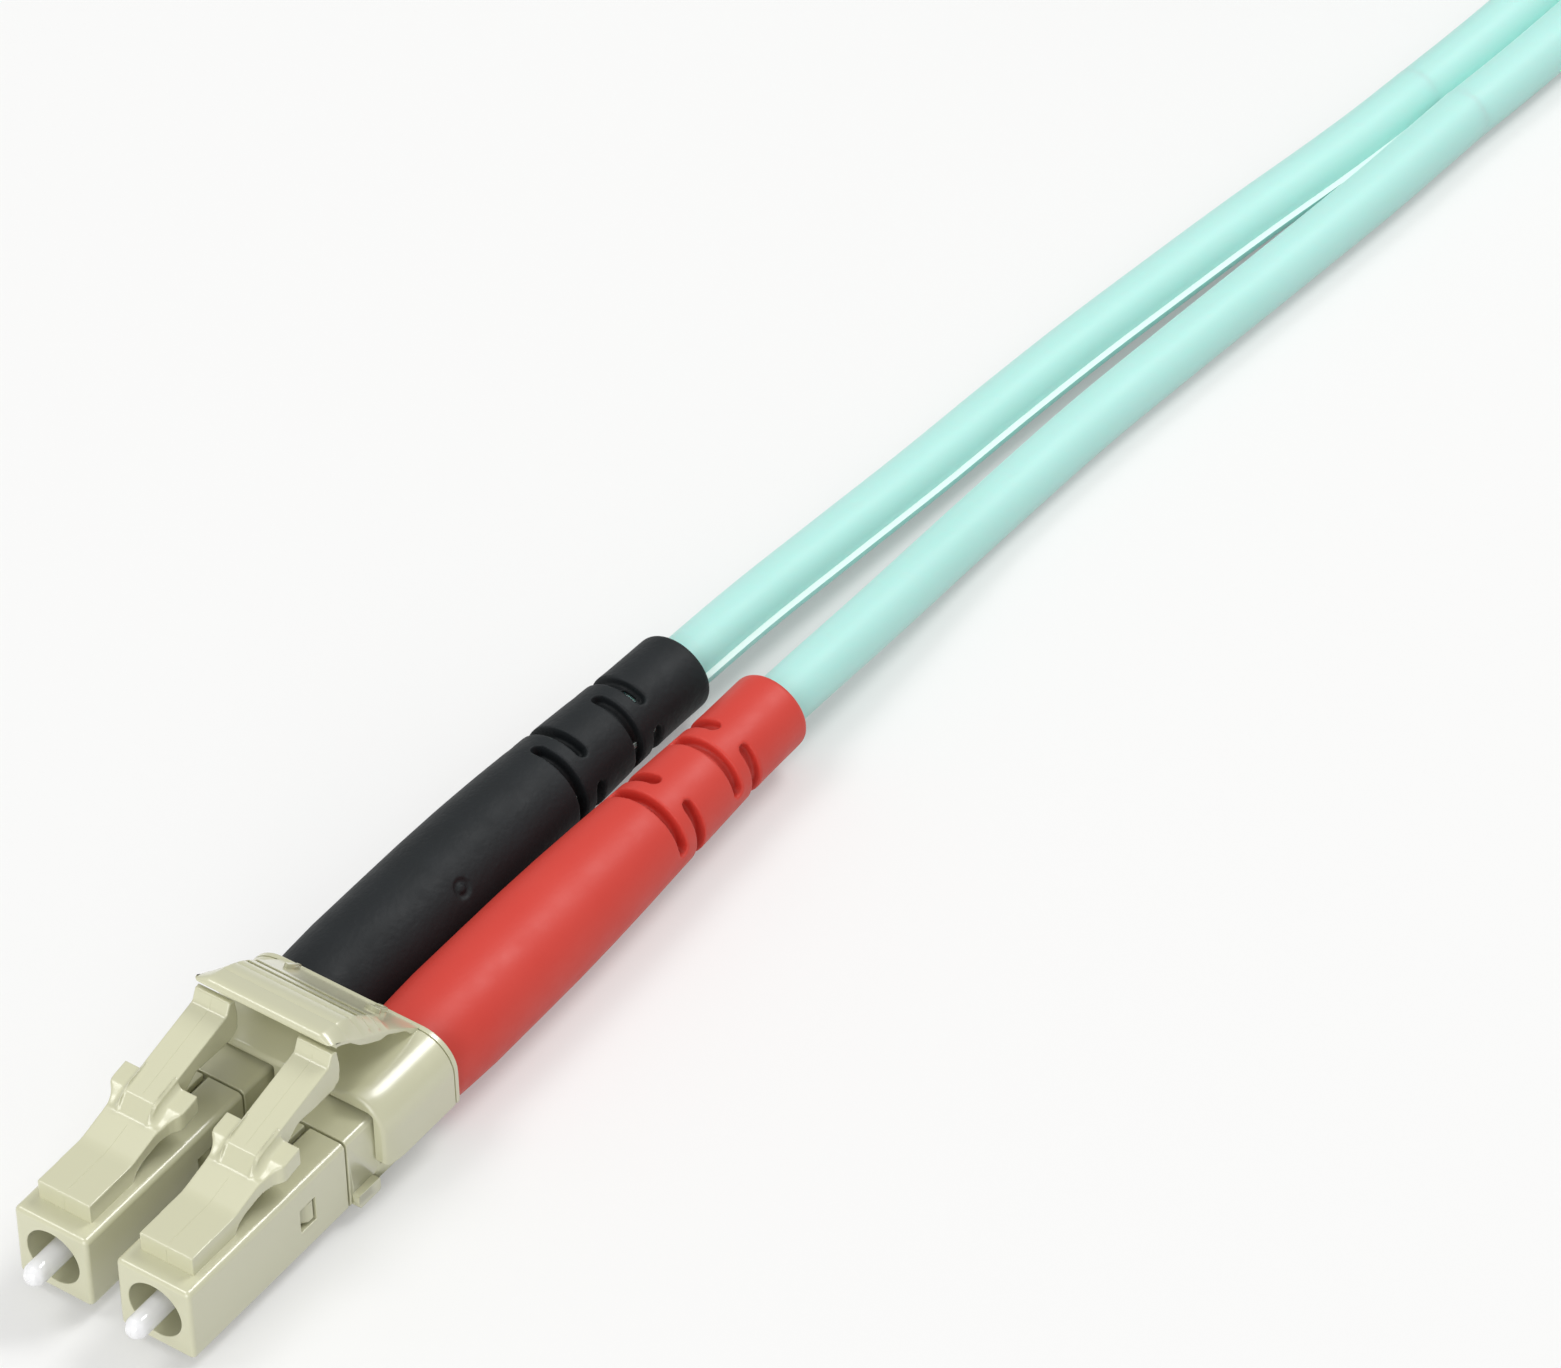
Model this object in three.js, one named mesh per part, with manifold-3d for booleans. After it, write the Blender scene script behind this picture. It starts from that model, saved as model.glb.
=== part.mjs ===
// Duplex fibre optic patch cord. Two identical connectors, each of two small-form-factor plugs held
// side by side by a clip with one shared trigger, sit on the ends of a two-core zip cord.
// Millimetres, +Z up. The near connector lies along +X on the surface z = 0, its cord leaving
// towards +X; the rest of the cord is coiled on the same surface, with the far connector on the coil.
import * as THREE from "three";
import { mergeVertices } from "three/addons/utils/BufferGeometryUtils.js";
import Module from "manifold-3d";

const wasm = await Module();
wasm.setup();

// ---------------------------------------------------------------- driving dimensions
// A plug's own frame: x = 0 is its front face, z = 0 its ferrule axis, x grows towards the cord.
const FIT = 0.1; // radial play of moulded parts that slide into each other
const GAP = 0.3; // play between neighbours that only stand side by side
const PITCH = 6.25; // between the two ferrules

const FERRULE_R = 0.625;
const FERRULE_OUT = 1.9; // how far the ferrule stands out of the housing
const FERRULE_CHAMFER = 0.28;
const FERRULE_TRAVEL = 0.8;

const HOUSING_HALF = 2.26; // half of the square housing
const HOUSING_L = 12.26;
const EDGE_R = 0.2; // rounding of the long edges
const FRONT_BORE_R = 1.6;
const FRONT_BORE_L = 3.6;
const SHOULDER_L = 0.8; // the wall that the flange rests on
const SHOULDER_R = 0.95;
const CAVITY_X = HOUSING_L - 5.26; // the square rear cavity starts here
const CAVITY_HALF = HOUSING_HALF - 0.41;
const WINDOW_X = HOUSING_L - 3.66;
const WINDOW_L = 1.2;
const WINDOW_HALF = 0.76;
const TOP_SLOT_L = 1.5;
const TOP_SLOT_W = 0.3;

const FLANGE_R = 1.45; // across the corners of the hexagon
const FLANGE_L = 1.2;
const HOLDER_STEM_R = 0.7;
const SPRING_R = 1.06; // to the middle of the wire
const SPRING_WIRE_R = 0.14;
const SPRING_TURNS = 6;
const TUBE_R = 0.45; // fibre guide tube
const TUBE_L = 16.5;

const BLOCK_L = 7.64;
const BODY_END = HOUSING_L + BLOCK_L; // rear end of the square part of the rear body
const NOSE_L = 3.86;
const SPRING_BORE_R = 1.3;
const SPRING_BORE_L = 2.1;
const FIBRE_BORE_R = 0.75;
const POST_R = 1.35;
const POST_L = 5.6;
const LUG_X = HOUSING_L + 0.34;
const LUG_L = 1.7;
const LUG_OUT = 0.4;
const LUG_H = 0.85;
const GROOVE_DEPTH = 0.45; // the clip's lips run in these grooves

const SLEEVE_R = 1.85;
const SLEEVE_T = 0.35;
const SLEEVE_L = 6.4;

const LEG_R = 1.5; // radius of one core of the cord
const BOOT_X = BODY_END + 0.25; // front face of the boot, at the clip's rear face
const BOOT_L = 30.75;
const BOOT_BORE_R = LEG_R + GAP;
const BOOT_R = PITCH / 2 - 0.125; // the thickest place, which lies on the surface
// The boot's outline: distance behind its front face as a share of its length, and radius as a share.
const BOOT_SHAPE = [
  [0, 0.95],
  [0.125, 1],
  [0.35, 0.983],
  [0.55, 0.913],
  [0.745, 0.817],
  [0.89, 0.757],
];
const BOOT_WALL = BOOT_SHAPE.at(-1)[1] * BOOT_R - BOOT_BORE_R; // at its thin end
const BOOT_END_ROUND = 0.64 * BOOT_WALL;
const BOOT_SIDES = 20;
const SLOT_BEFORE_END = [11.15, 9.6, 6.15, 4.55]; // the four slot rings, from the boot's thin end
const SLOT_W = 0.6;
const SLOT_ARC = 144; // degrees; two slots to a ring, with a bridge between their ends
const BLACK_ROLL = 58; // degrees that each boot is turned about its own axis
const RED_ROLL = 19;

// The one-piece latch: a root block on the housing and an arm that bends down behind it.
// Heights here are over the housing's top.
const LATCH_ROOT_X = 1.2;
const LATCH_ROOT_H = 1.12;
const LATCH_ROOT_TOP = HOUSING_HALF + LATCH_ROOT_H;
const LATCH_RISE = 0.02; // slope of the root block's upper side
const LATCH_ROOT_HALF = 1.62;
const LATCH_HINGE_X = 4.6;
const LATCH_HINGE_R = 0.5;
const LATCH_HINGE_Z = LATCH_ROOT_TOP + (LATCH_HINGE_X - LATCH_ROOT_X) * LATCH_RISE - LATCH_HINGE_R;
const ARM_HALF = 1.58;
const TAIL_HALF = 1.07;
const EAR_HALF = 2.2;
const EAR_H = 2.45;
const EAR_X = 7.7;
const EAR_END = 9.0;
// Side view of the arm behind its hinge: underside from the front, tail, and the step in its top.
const ARM_UNDER = [
  [6.4, 0.93],
  [9.3, 1.48],
];
// The tail's x counts from the housing's rear end.
const ARM_TAIL = [
  [-2.58, 1.89],
  [-1.9, 2.36],
  [0.88, 2.3],
  [1.4, 2.69],
  [1.48, 3.65],
  [1.33, 4.66],
  [0.99, 4.68],
  [0.64, 3.98],
];
const ARM_STEP = [
  [7.3, 2.58],
  [6.6, 1.74],
];

const CLIP_X = HOUSING_L + 2.14;
const CLIP_SIDE_WALL = 0.7;
const CLIP_ROOF = 0.78;
const CLIP_HALF = PITCH / 2 + HOUSING_HALF + CLIP_SIDE_WALL + 0.265;
const CLIP_TOP = HOUSING_HALF + GAP + CLIP_ROOF;
const CLIP_LOW = 1.62 - HOUSING_HALF;
const CLIP_CORNER_R = 2;
const CLIP_LIP = 0.5;
const CLIP_LIP_H = 0.34;
const CLIP_WEB_LOW = 0.36 - HOUSING_HALF;
const GROOVE_LOW = CLIP_LOW - 0.57; // of the grooves in the rear bodies that the lips run in
const GROOVE_HIGH = CLIP_LOW + CLIP_LIP_H + 0.29;
const SEAM_BEFORE_END = 0.4; // the fine groove that sets off the clip's rear rim
const SEAM_W = 0.12;
const SEAM_DEPTH = 0.12;
const SCOOP_DEPTH = 0.5;
const SCOOP_L = 2.1;

const TRIGGER_HALF = 4.25;
const TRIGGER_HINGE_X = BOOT_X - 0.85;
const TRIGGER_HINGE_R = 0.42;
const TRIGGER_HINGE_Z = CLIP_TOP + 0.46;
// Side view of the trigger, counted from its hinge: along the top, over three fine ridges and the
// crease to the lip, then back underneath.
const TRIGGER_TOP = [
  [-0.3, 0.9],
  [-1.05, 1.51],
  [-1.62, 1.6],
  [-1.74, 1.84],
  [-1.9, 1.88],
  [-2.04, 1.99],
  [-2.16, 2.2],
  [-2.32, 2.22],
  [-2.62, 2.5],
  [-2.78, 2.8],
  [-2.98, 2.82],
  [-3.7, 3.34],
  [-4.5, 3.64],
  [-5.4, 4.03],
  [-5.95, 3.96],
];
const TRIGGER_UNDER = [
  [-6.1, 3.56],
  [-5.4, 3.29],
  [-4.64, 2.86],
  [-3.76, 2.0],
  [-1.98, 1.22],
  [-0.85, 0.28],
];

// ---------------------------------------------------------------- the cord's lie on the surface
const WEB = 2 * LEG_R + 0.1; // between the middles of the two cores
const CORD_H = WEB + 2 * LEG_R; // height of the cord on edge
const FLAT_CUT = 0.2 * LEG_R; // the coil's underside, cut flat where it stands
const COIL_INNER_R = 27.25;
const COIL_PITCH = 2 * LEG_R + 0.7; // from one loop to the next beside it
const COIL_LAYER = CORD_H + 0.5;
const TURNS_PER_LAYER = 2.025;
const STEPS_PER_TURN = 24;
const COIL_Z = CORD_H / 2 - FLAT_CUT;
const COIL_OUTER_R = COIL_INNER_R + COIL_PITCH * TURNS_PER_LAYER;
const COIL_START_Y = -5.99; // where the outermost loop meets the cord
const COIL_CENTRE = [COIL_OUTER_R + 105.26, COIL_START_Y + COIL_OUTER_R];
const TIE_ANGLE = 190; // degrees round the coil
const TIE_T = 0.8;
const TIE_W = 12;
const TIE_SPAN = 30; // degrees each side of the tie over which the loops rise over its strap

// ---------------------------------------------------------------- materials
const plastic = (color, roughness) => new THREE.MeshStandardMaterial({ color, roughness, metalness: 0 });
const metal = (color, roughness) => new THREE.MeshStandardMaterial({ color, roughness, metalness: 1 });
const BEIGE = plastic(0xd0ceb9, 0.42);
const BLACK = plastic(0x2d3032, 0.68);
const RED = plastic(0xdb564c, 0.55);
const AQUA = plastic(0xbbe8e0, 0.5);
const WHITE_CERAMIC = plastic(0xebebee, 0.2);
const TUBE_WHITE = plastic(0xf2f2ea, 0.5);
const TIE_BLACK = plastic(0x1e1f20, 0.9);
const STEEL = metal(0xb9bcc0, 0.3);
const NICKEL = metal(0xc9c4b4, 0.35);

// ---------------------------------------------------------------- geometry helpers
function toSolid(geometry) {
  const bare = geometry.index ? geometry.toNonIndexed() : geometry.clone();
  bare.deleteAttribute("normal");
  bare.deleteAttribute("uv");
  const merged = mergeVertices(bare, 1e-4);
  const vertProperties = new Float32Array(merged.attributes.position.array);
  const triVerts = new Uint32Array(merged.index.array);
  return new wasm.Manifold(new wasm.Mesh({ numProp: 3, vertProperties, triVerts }));
}

function toGeometry(solid) {
  const out = solid.getMesh();
  const geometry = new THREE.BufferGeometry();
  geometry.setAttribute("position", new THREE.BufferAttribute(out.vertProperties, 3));
  geometry.setIndex(new THREE.BufferAttribute(out.triVerts, 1));
  const flat = geometry.toNonIndexed();
  flat.computeVertexNormals();
  return flat;
}

function named(name, geometryOrSolid, material) {
  const geometry = geometryOrSolid.isBufferGeometry ? geometryOrSolid : toGeometry(geometryOrSolid);
  const mesh = new THREE.Mesh(geometry, material);
  mesh.name = name;
  return mesh;
}

function outline(points) {
  return new THREE.Shape(points.map(([a, b]) => new THREE.Vector2(a, b)));
}

function roundedRect(halfW, low, high, radius) {
  const shape = new THREE.Shape();
  shape.absarc(halfW - radius, high - radius, radius, 0, Math.PI / 2);
  shape.absarc(-halfW + radius, high - radius, radius, Math.PI / 2, Math.PI);
  shape.absarc(-halfW + radius, low + radius, radius, Math.PI, 1.5 * Math.PI);
  shape.absarc(halfW - radius, low + radius, radius, 1.5 * Math.PI, 2 * Math.PI);
  return shape;
}

// Extrudes a shape drawn in the (y, z) plane from x0 to x1.
function prismX(shape, x0, x1, curveSegments = 1) {
  const geometry = new THREE.ExtrudeGeometry(shape, { depth: x1 - x0, bevelEnabled: false, curveSegments });
  const turn = new THREE.Matrix4().makeBasis(
    new THREE.Vector3(0, 1, 0),
    new THREE.Vector3(0, 0, 1),
    new THREE.Vector3(1, 0, 0),
  );
  return toSolid(geometry.applyMatrix4(turn).translate(x0, 0, 0));
}

// Extrudes a shape drawn in the (x, z) plane from y = -half to y = +half.
function prismY(shape, half, curveSegments = 4) {
  const geometry = new THREE.ExtrudeGeometry(shape, { depth: 2 * half, bevelEnabled: false, curveSegments });
  return toSolid(geometry.rotateX(Math.PI / 2).translate(0, half, 0));
}

// Extrudes a shape drawn in the (x, y) plane from z0 to z1.
function prismZ(shape, z0, z1, curveSegments = 4) {
  const geometry = new THREE.ExtrudeGeometry(shape, { depth: z1 - z0, bevelEnabled: false, curveSegments });
  return toSolid(geometry.translate(0, 0, z0));
}

function box(x0, x1, y0, y1, z0, z1) {
  const geometry = new THREE.BoxGeometry(x1 - x0, y1 - y0, z1 - z0);
  return toSolid(geometry.translate((x0 + x1) / 2, (y0 + y1) / 2, (z0 + z1) / 2));
}

// Revolves [x, radius] pairs about the X axis. A solid starts and ends at radius 0; a tube closes on itself.
function revolveX(profile, sides) {
  const points = profile.map(([x, r]) => new THREE.Vector2(r, x));
  return toSolid(new THREE.LatheGeometry(points, sides).rotateZ(-Math.PI / 2));
}

function rodX(x0, x1, radius, sides = 16) {
  return revolveX([[x0, 0], [x0, radius], [x1, radius], [x1, 0]], sides);
}

function tubeX(x0, x1, outer, inner, sides = 16) {
  return revolveX([[x0, inner], [x0, outer], [x1, outer], [x1, inner], [x0, inner]], sides);
}

// Skins a row of rings, each with the same number of points, and closes both ends.
function loft(rings) {
  const n = rings[0].length;
  const last = rings.length - 1;
  const positions = rings.flat().flatMap((p) => [p.x, p.y, p.z]);
  const index = [];
  for (let i = 0; i < last; i++) {
    for (let j = 0; j < n; j++) {
      const a = i * n + j;
      const b = i * n + ((j + 1) % n);
      index.push(a, b, b + n, a, b + n, a + n);
    }
  }
  for (const [end, order] of [[0, -1], [last, 1]]) {
    const middle = rings[end].reduce((sum, p) => sum.add(p), new THREE.Vector3()).divideScalar(n);
    const hub = positions.length / 3;
    positions.push(middle.x, middle.y, middle.z);
    for (let j = 0; j < n; j++) {
      const a = end * n + j;
      const b = end * n + ((j + 1) % n);
      if (order > 0) index.push(hub, a, b);
      else index.push(hub, b, a);
    }
  }
  const geometry = new THREE.BufferGeometry();
  geometry.setAttribute("position", new THREE.Float32BufferAttribute(positions, 3));
  geometry.setIndex(index);
  geometry.computeVertexNormals();
  return geometry;
}

// ---------------------------------------------------------------- one plug, in its own frame
const HOLDER_X = FRONT_BORE_L + SHOULDER_L + FIT; // the flange rests just behind the shoulder
const FLANGE_END = HOLDER_X + FLANGE_L;
const FERRULE_END = HOLDER_X + 0.5;
const NOSE_X = HOUSING_L - NOSE_L;
const SPRING_SEAT = NOSE_X + SPRING_BORE_L;
const STEM_END = SPRING_SEAT - FERRULE_TRAVEL - GAP; // clear of the spring's seat when pushed in
const POST_END = BODY_END + POST_L;

function ferrule() {
  const tip = -FERRULE_OUT;
  const flatR = FERRULE_R - FERRULE_CHAMFER;
  return revolveX(
    [[tip, 0], [tip, flatR], [tip + FERRULE_CHAMFER, FERRULE_R], [FERRULE_END, FERRULE_R], [FERRULE_END, 0]],
    16,
  );
}

// Hexagonal flange on a hollow stem; the ferrule is pressed into its front, the guide tube into its rear.
function ferruleHolder() {
  const flange = rodX(HOLDER_X, FLANGE_END, FLANGE_R, 6);
  const stem = rodX(FLANGE_END - 0.01, STEM_END, HOLDER_STEM_R, 12);
  const ferruleBore = rodX(HOLDER_X - 1, FERRULE_END + FIT, FERRULE_R + FIT, 16);
  const fibreBore = rodX(HOLDER_X, STEM_END + 1, TUBE_R - 0.2, 8);
  const tubeBore = rodX(STEM_END - 2, STEM_END + 1, TUBE_R + FIT, 12);
  return flange.add(stem).subtract(ferruleBore).subtract(fibreBore).subtract(tubeBore);
}

function spring() {
  const x0 = FLANGE_END + SPRING_WIRE_R + 0.05;
  const x1 = SPRING_SEAT - SPRING_WIRE_R - 0.05;
  const steps = SPRING_TURNS * 8;
  const rings = [];
  for (let i = 0; i <= steps; i++) {
    const angle = (i / 8) * 2 * Math.PI;
    const out = new THREE.Vector3(0, Math.cos(angle), Math.sin(angle));
    const x = x0 + ((x1 - x0) * i) / steps;
    const ring = [0, 1, 2, 3].map((k) => {
      const around = (k / 4) * 2 * Math.PI + Math.PI / 4;
      const p = out.clone().multiplyScalar(SPRING_R + SPRING_WIRE_R * Math.cos(around));
      p.x = x - SPRING_WIRE_R * Math.sin(around);
      return p;
    });
    rings.push(ring);
  }
  return loft(rings);
}

function guideTube() {
  const x0 = STEM_END - 1.8;
  return tubeX(x0, x0 + TUBE_L, TUBE_R, TUBE_R - 0.2, 8);
}

const latchTopAt = (x) => LATCH_ROOT_TOP + (x - LATCH_ROOT_X) * LATCH_RISE;

// Square tube with a stepped bore, snap windows in its sides, a slot in its roof and the latch's root on top.
function frontHousing() {
  const shell = prismX(roundedRect(HOUSING_HALF, -HOUSING_HALF, HOUSING_HALF, EDGE_R), 0, HOUSING_L);
  const root = prismY(
    outline([
      [LATCH_ROOT_X, HOUSING_HALF - 0.5],
      [LATCH_HINGE_X, HOUSING_HALF - 0.5],
      [LATCH_HINGE_X, latchTopAt(LATCH_HINGE_X)],
      [LATCH_ROOT_X, LATCH_ROOT_TOP],
    ]),
    LATCH_ROOT_HALF,
  );
  const hinge = new THREE.CylinderGeometry(LATCH_HINGE_R + GAP, LATCH_HINGE_R + GAP, 2 * LATCH_ROOT_HALF + 1, 16);
  const hingeSeat = toSolid(hinge.translate(LATCH_HINGE_X, 0, LATCH_HINGE_Z));
  const openBehind = box(LATCH_HINGE_X, LATCH_HINGE_X + 2, -2, 2, HOUSING_HALF, LATCH_HINGE_Z + 1.5);
  const frontBore = rodX(-1, FRONT_BORE_L, FRONT_BORE_R, 20);
  const shoulderBore = rodX(FRONT_BORE_L - 0.1, HOLDER_X, SHOULDER_R, 16);
  const chamber = rodX(HOLDER_X - FIT, CAVITY_X + 0.1, FRONT_BORE_R, 20);
  const cavity = box(CAVITY_X, HOUSING_L + 1, -CAVITY_HALF, CAVITY_HALF, -CAVITY_HALF, CAVITY_HALF);
  const windows = box(
    WINDOW_X, WINDOW_X + WINDOW_L, -HOUSING_HALF - 1, HOUSING_HALF + 1, -WINDOW_HALF, WINDOW_HALF,
  );
  const slot = box(
    HOUSING_L - TOP_SLOT_L, HOUSING_L + 1, -TOP_SLOT_W / 2, TOP_SLOT_W / 2, CAVITY_HALF - 0.1, HOUSING_HALF + 1,
  );
  return shell
    .add(root.subtract(hingeSeat).subtract(openBehind))
    .subtract(frontBore)
    .subtract(shoulderBore)
    .subtract(chamber)
    .subtract(cavity)
    .subtract(windows)
    .subtract(slot);
}

// The arm's side view, cut to its width as seen from above, plus the two ears that catch in a port.
function latchArm() {
  const side = new THREE.Shape();
  side.absarc(LATCH_HINGE_X, LATCH_HINGE_Z, LATCH_HINGE_R, Math.PI / 2, 1.5 * Math.PI);
  const tail = ARM_TAIL.map(([x, h]) => [HOUSING_L + x, h]);
  for (const [x, h] of [...ARM_UNDER, ...tail, ...ARM_STEP]) side.lineTo(x, HOUSING_HALF + h);
  const plan = [
    [LATCH_HINGE_X - 1, ARM_HALF],
    [EAR_X - 1.1, ARM_HALF],
    [EAR_X - 1.05, TAIL_HALF],
    [HOUSING_L + 0.64, TAIL_HALF],
    [HOUSING_L + 1.74, TAIL_HALF + 0.05],
  ];
  const earPlan = [
    [EAR_X - 1.2, ARM_HALF],
    [EAR_X - 0.6, ARM_HALF + 0.06],
    [EAR_X - 0.15, EAR_HALF - 0.2],
    [EAR_X + 0.15, EAR_HALF],
    [EAR_END, EAR_HALF],
  ];
  const bothSides = (half) => outline([...half.map(([x, y]) => [x, -y]).reverse(), ...half]);
  const arm = prismY(side, EAR_HALF, 6).intersect(prismZ(bothSides(plan), 0, 3 * HOUSING_HALF + 4));
  const earSide = outline([
    [EAR_X - 1.2, HOUSING_HALF + 0.98],
    [EAR_END, HOUSING_HALF + 1.42],
    [EAR_END, HOUSING_HALF + EAR_H],
    [EAR_X + 0.15, HOUSING_HALF + EAR_H - 0.1],
    [EAR_X - 0.35, HOUSING_HALF + EAR_H - 0.38],
    [EAR_X - 1.1, HOUSING_HALF + 1.74],
    [EAR_X - 1.2, HOUSING_HALF + 1.7],
  ]);
  const ears = prismY(earSide, EAR_HALF).intersect(prismZ(bothSides(earPlan), 0, 3 * HOUSING_HALF + 4));
  return arm.add(ears);
}

// Nose with snap nubs inside the housing, square block with the clip's grooves, and the post for the sleeve.
function rearBody() {
  const noseHalf = CAVITY_HALF - FIT;
  const block = prismX(roundedRect(HOUSING_HALF, -HOUSING_HALF, HOUSING_HALF, EDGE_R), HOUSING_L, BODY_END);
  const nose = box(NOSE_X, HOUSING_L + 0.1, -noseHalf, noseHalf, -noseHalf, noseHalf);
  const nub = outline([
    [WINDOW_X + 0.15, 0],
    [WINDOW_X + WINDOW_L - 0.15, 0],
    [WINDOW_X + WINDOW_L - 0.15, HOUSING_HALF - 0.1],
    [WINDOW_X + WINDOW_L - 0.5, HOUSING_HALF - 0.1],
    [WINDOW_X + 0.15, noseHalf],
  ]);
  const nubLeft = prismZ(nub, -WINDOW_HALF + 0.16, WINDOW_HALF - 0.16);
  const nubRight = nubLeft.mirror([0, 1, 0]);
  const lugs = box(
    LUG_X, LUG_X + LUG_L, -HOUSING_HALF - LUG_OUT, HOUSING_HALF + LUG_OUT, -HOUSING_HALF, -HOUSING_HALF + LUG_H,
  );
  const inner = HOUSING_HALF - GROOVE_DEPTH;
  const groove = box(CLIP_X - GAP, BODY_END + 1, inner, HOUSING_HALF + 1, GROOVE_LOW, GROOVE_HIGH);
  const post = rodX(BODY_END - 0.1, POST_END, POST_R, 16);
  const springBore = rodX(NOSE_X - 1, SPRING_SEAT, SPRING_BORE_R, 16);
  const fibreBore = rodX(NOSE_X, POST_END + 1, FIBRE_BORE_R, 12);
  return block
    .add(nose)
    .add(nubLeft)
    .add(nubRight)
    .add(lugs)
    .add(post)
    .subtract(groove)
    .subtract(groove.mirror([0, 1, 0]))
    .subtract(springBore)
    .subtract(fibreBore);
}

function crimpSleeve() {
  const x0 = BODY_END + GAP;
  return tubeX(x0, x0 + SLEEVE_L, SLEEVE_R, SLEEVE_R - SLEEVE_T, 16);
}

// Tapered boot with a stepped bore and four rings of bending slots, turned about its axis by roll degrees.
function boot(roll) {
  const end = BOOT_X + BOOT_L;
  const outer = BOOT_SHAPE.map(([share, r]) => [BOOT_X + share * BOOT_L, r * BOOT_R]);
  const endR = BOOT_SHAPE.at(-1)[1] * BOOT_R;
  const step = BODY_END + GAP + SLEEVE_L + GAP;
  const wide = SLEEVE_R + 0.15;
  const body = revolveX(
    [
      ...outer,
      [end - BOOT_END_ROUND, endR],
      [end, endR - BOOT_END_ROUND],
      [end, BOOT_BORE_R],
      [step, BOOT_BORE_R],
      [step, wide],
      [BOOT_X, wide],
      outer[0],
    ],
    BOOT_SIDES,
  );
  const half = THREE.MathUtils.degToRad(SLOT_ARC / 2);
  let cut = body;
  SLOT_BEFORE_END.forEach((before, ring) => {
    const x = end - before;
    for (const side of [0, 180]) {
      const middle = THREE.MathUtils.degToRad(90 + roll + side + (ring % 2) * 90);
      const sector = new THREE.Shape();
      sector.absarc(0, 0, BOOT_R + 0.2, middle - half, middle + half);
      sector.absarc(0, 0, BOOT_BORE_R - 0.15, middle + half, middle - half, true);
      cut = cut.subtract(prismX(sector, x - SLOT_W / 2, x + SLOT_W / 2, 4));
    }
  });
  return cut;
}

const ROLL = { black: BLACK_ROLL, red: RED_ROLL };
const BOOT_COLOUR = { black: BLACK, red: RED };

function plug(end, side) {
  const label = `${end}_${side}`;
  const group = new THREE.Group();
  group.add(
    named(`${label}_ferrule`, ferrule(), WHITE_CERAMIC),
    named(`${label}_ferrule_holder`, ferruleHolder(), NICKEL),
    named(`${label}_guide_tube`, guideTube(), TUBE_WHITE),
    named(`${label}_spring`, spring(), STEEL),
    named(`${label}_front_housing`, frontHousing(), BEIGE),
    named(`${label}_latch_arm`, latchArm(), BEIGE),
    named(`${label}_rear_body`, rearBody(), BEIGE),
    named(`${label}_crimp_sleeve`, crimpSleeve(), STEEL),
    named(`${label}_boot`, boot(ROLL[side]), BOOT_COLOUR[side]),
  );
  return group;
}

// ---------------------------------------------------------------- clip and trigger, in the connector's frame
// Open channel over both rear bodies: roof, two side walls with inward lips, and a web between the plugs.
function duplexClip() {
  const roof = CLIP_TOP - CLIP_ROOF;
  const innerHalf = CLIP_HALF - CLIP_SIDE_WALL;
  const webHalf = PITCH / 2 - HOUSING_HALF - GAP;
  const turn = CLIP_HALF - CLIP_CORNER_R;
  const section = new THREE.Shape();
  section.moveTo(CLIP_HALF, CLIP_LOW);
  section.lineTo(CLIP_HALF, CLIP_TOP - CLIP_CORNER_R);
  section.absarc(turn, CLIP_TOP - CLIP_CORNER_R, CLIP_CORNER_R, 0, Math.PI / 2);
  section.absarc(-turn, CLIP_TOP - CLIP_CORNER_R, CLIP_CORNER_R, Math.PI / 2, Math.PI);
  section.lineTo(-CLIP_HALF, CLIP_LOW);
  section.lineTo(-innerHalf + CLIP_LIP, CLIP_LOW);
  section.lineTo(-innerHalf + CLIP_LIP, CLIP_LOW + CLIP_LIP_H);
  section.lineTo(-innerHalf, CLIP_LOW + CLIP_LIP_H);
  section.lineTo(-innerHalf, roof);
  section.lineTo(-webHalf, roof);
  section.lineTo(-webHalf, CLIP_WEB_LOW);
  section.lineTo(webHalf, CLIP_WEB_LOW);
  section.lineTo(webHalf, roof);
  section.lineTo(innerHalf, roof);
  section.lineTo(innerHalf, CLIP_LOW + CLIP_LIP_H);
  section.lineTo(innerHalf - CLIP_LIP, CLIP_LOW + CLIP_LIP_H);
  section.lineTo(innerHalf - CLIP_LIP, CLIP_LOW);
  const channel = prismX(section, CLIP_X, BOOT_X, 5);
  const scoop = outline([
    [CLIP_X - 0.1, CLIP_TOP - SCOOP_DEPTH],
    [CLIP_X + SCOOP_L, CLIP_TOP],
    [CLIP_X + SCOOP_L, CLIP_TOP + 1],
    [CLIP_X - 0.1, CLIP_TOP + 1],
  ]);
  const seamX = BOOT_X - SEAM_BEFORE_END;
  const around = roundedRect(CLIP_HALF + 1, CLIP_LOW - 1, CLIP_TOP + 1, CLIP_CORNER_R);
  const kept = roundedRect(CLIP_HALF - SEAM_DEPTH, CLIP_LOW - 2, CLIP_TOP - SEAM_DEPTH, CLIP_CORNER_R);
  const seam = prismX(around, seamX, seamX + SEAM_W).subtract(prismX(kept, seamX - 1, seamX + 1, 5));
  const seatR = TRIGGER_HINGE_R + GAP;
  const seat = new THREE.CylinderGeometry(seatR, seatR, 2 * (TRIGGER_HALF + GAP), 16);
  return channel
    .subtract(prismY(scoop, turn - 0.1))
    .subtract(seam)
    .subtract(toSolid(seat.translate(TRIGGER_HINGE_X, 0, TRIGGER_HINGE_Z)));
}

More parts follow.
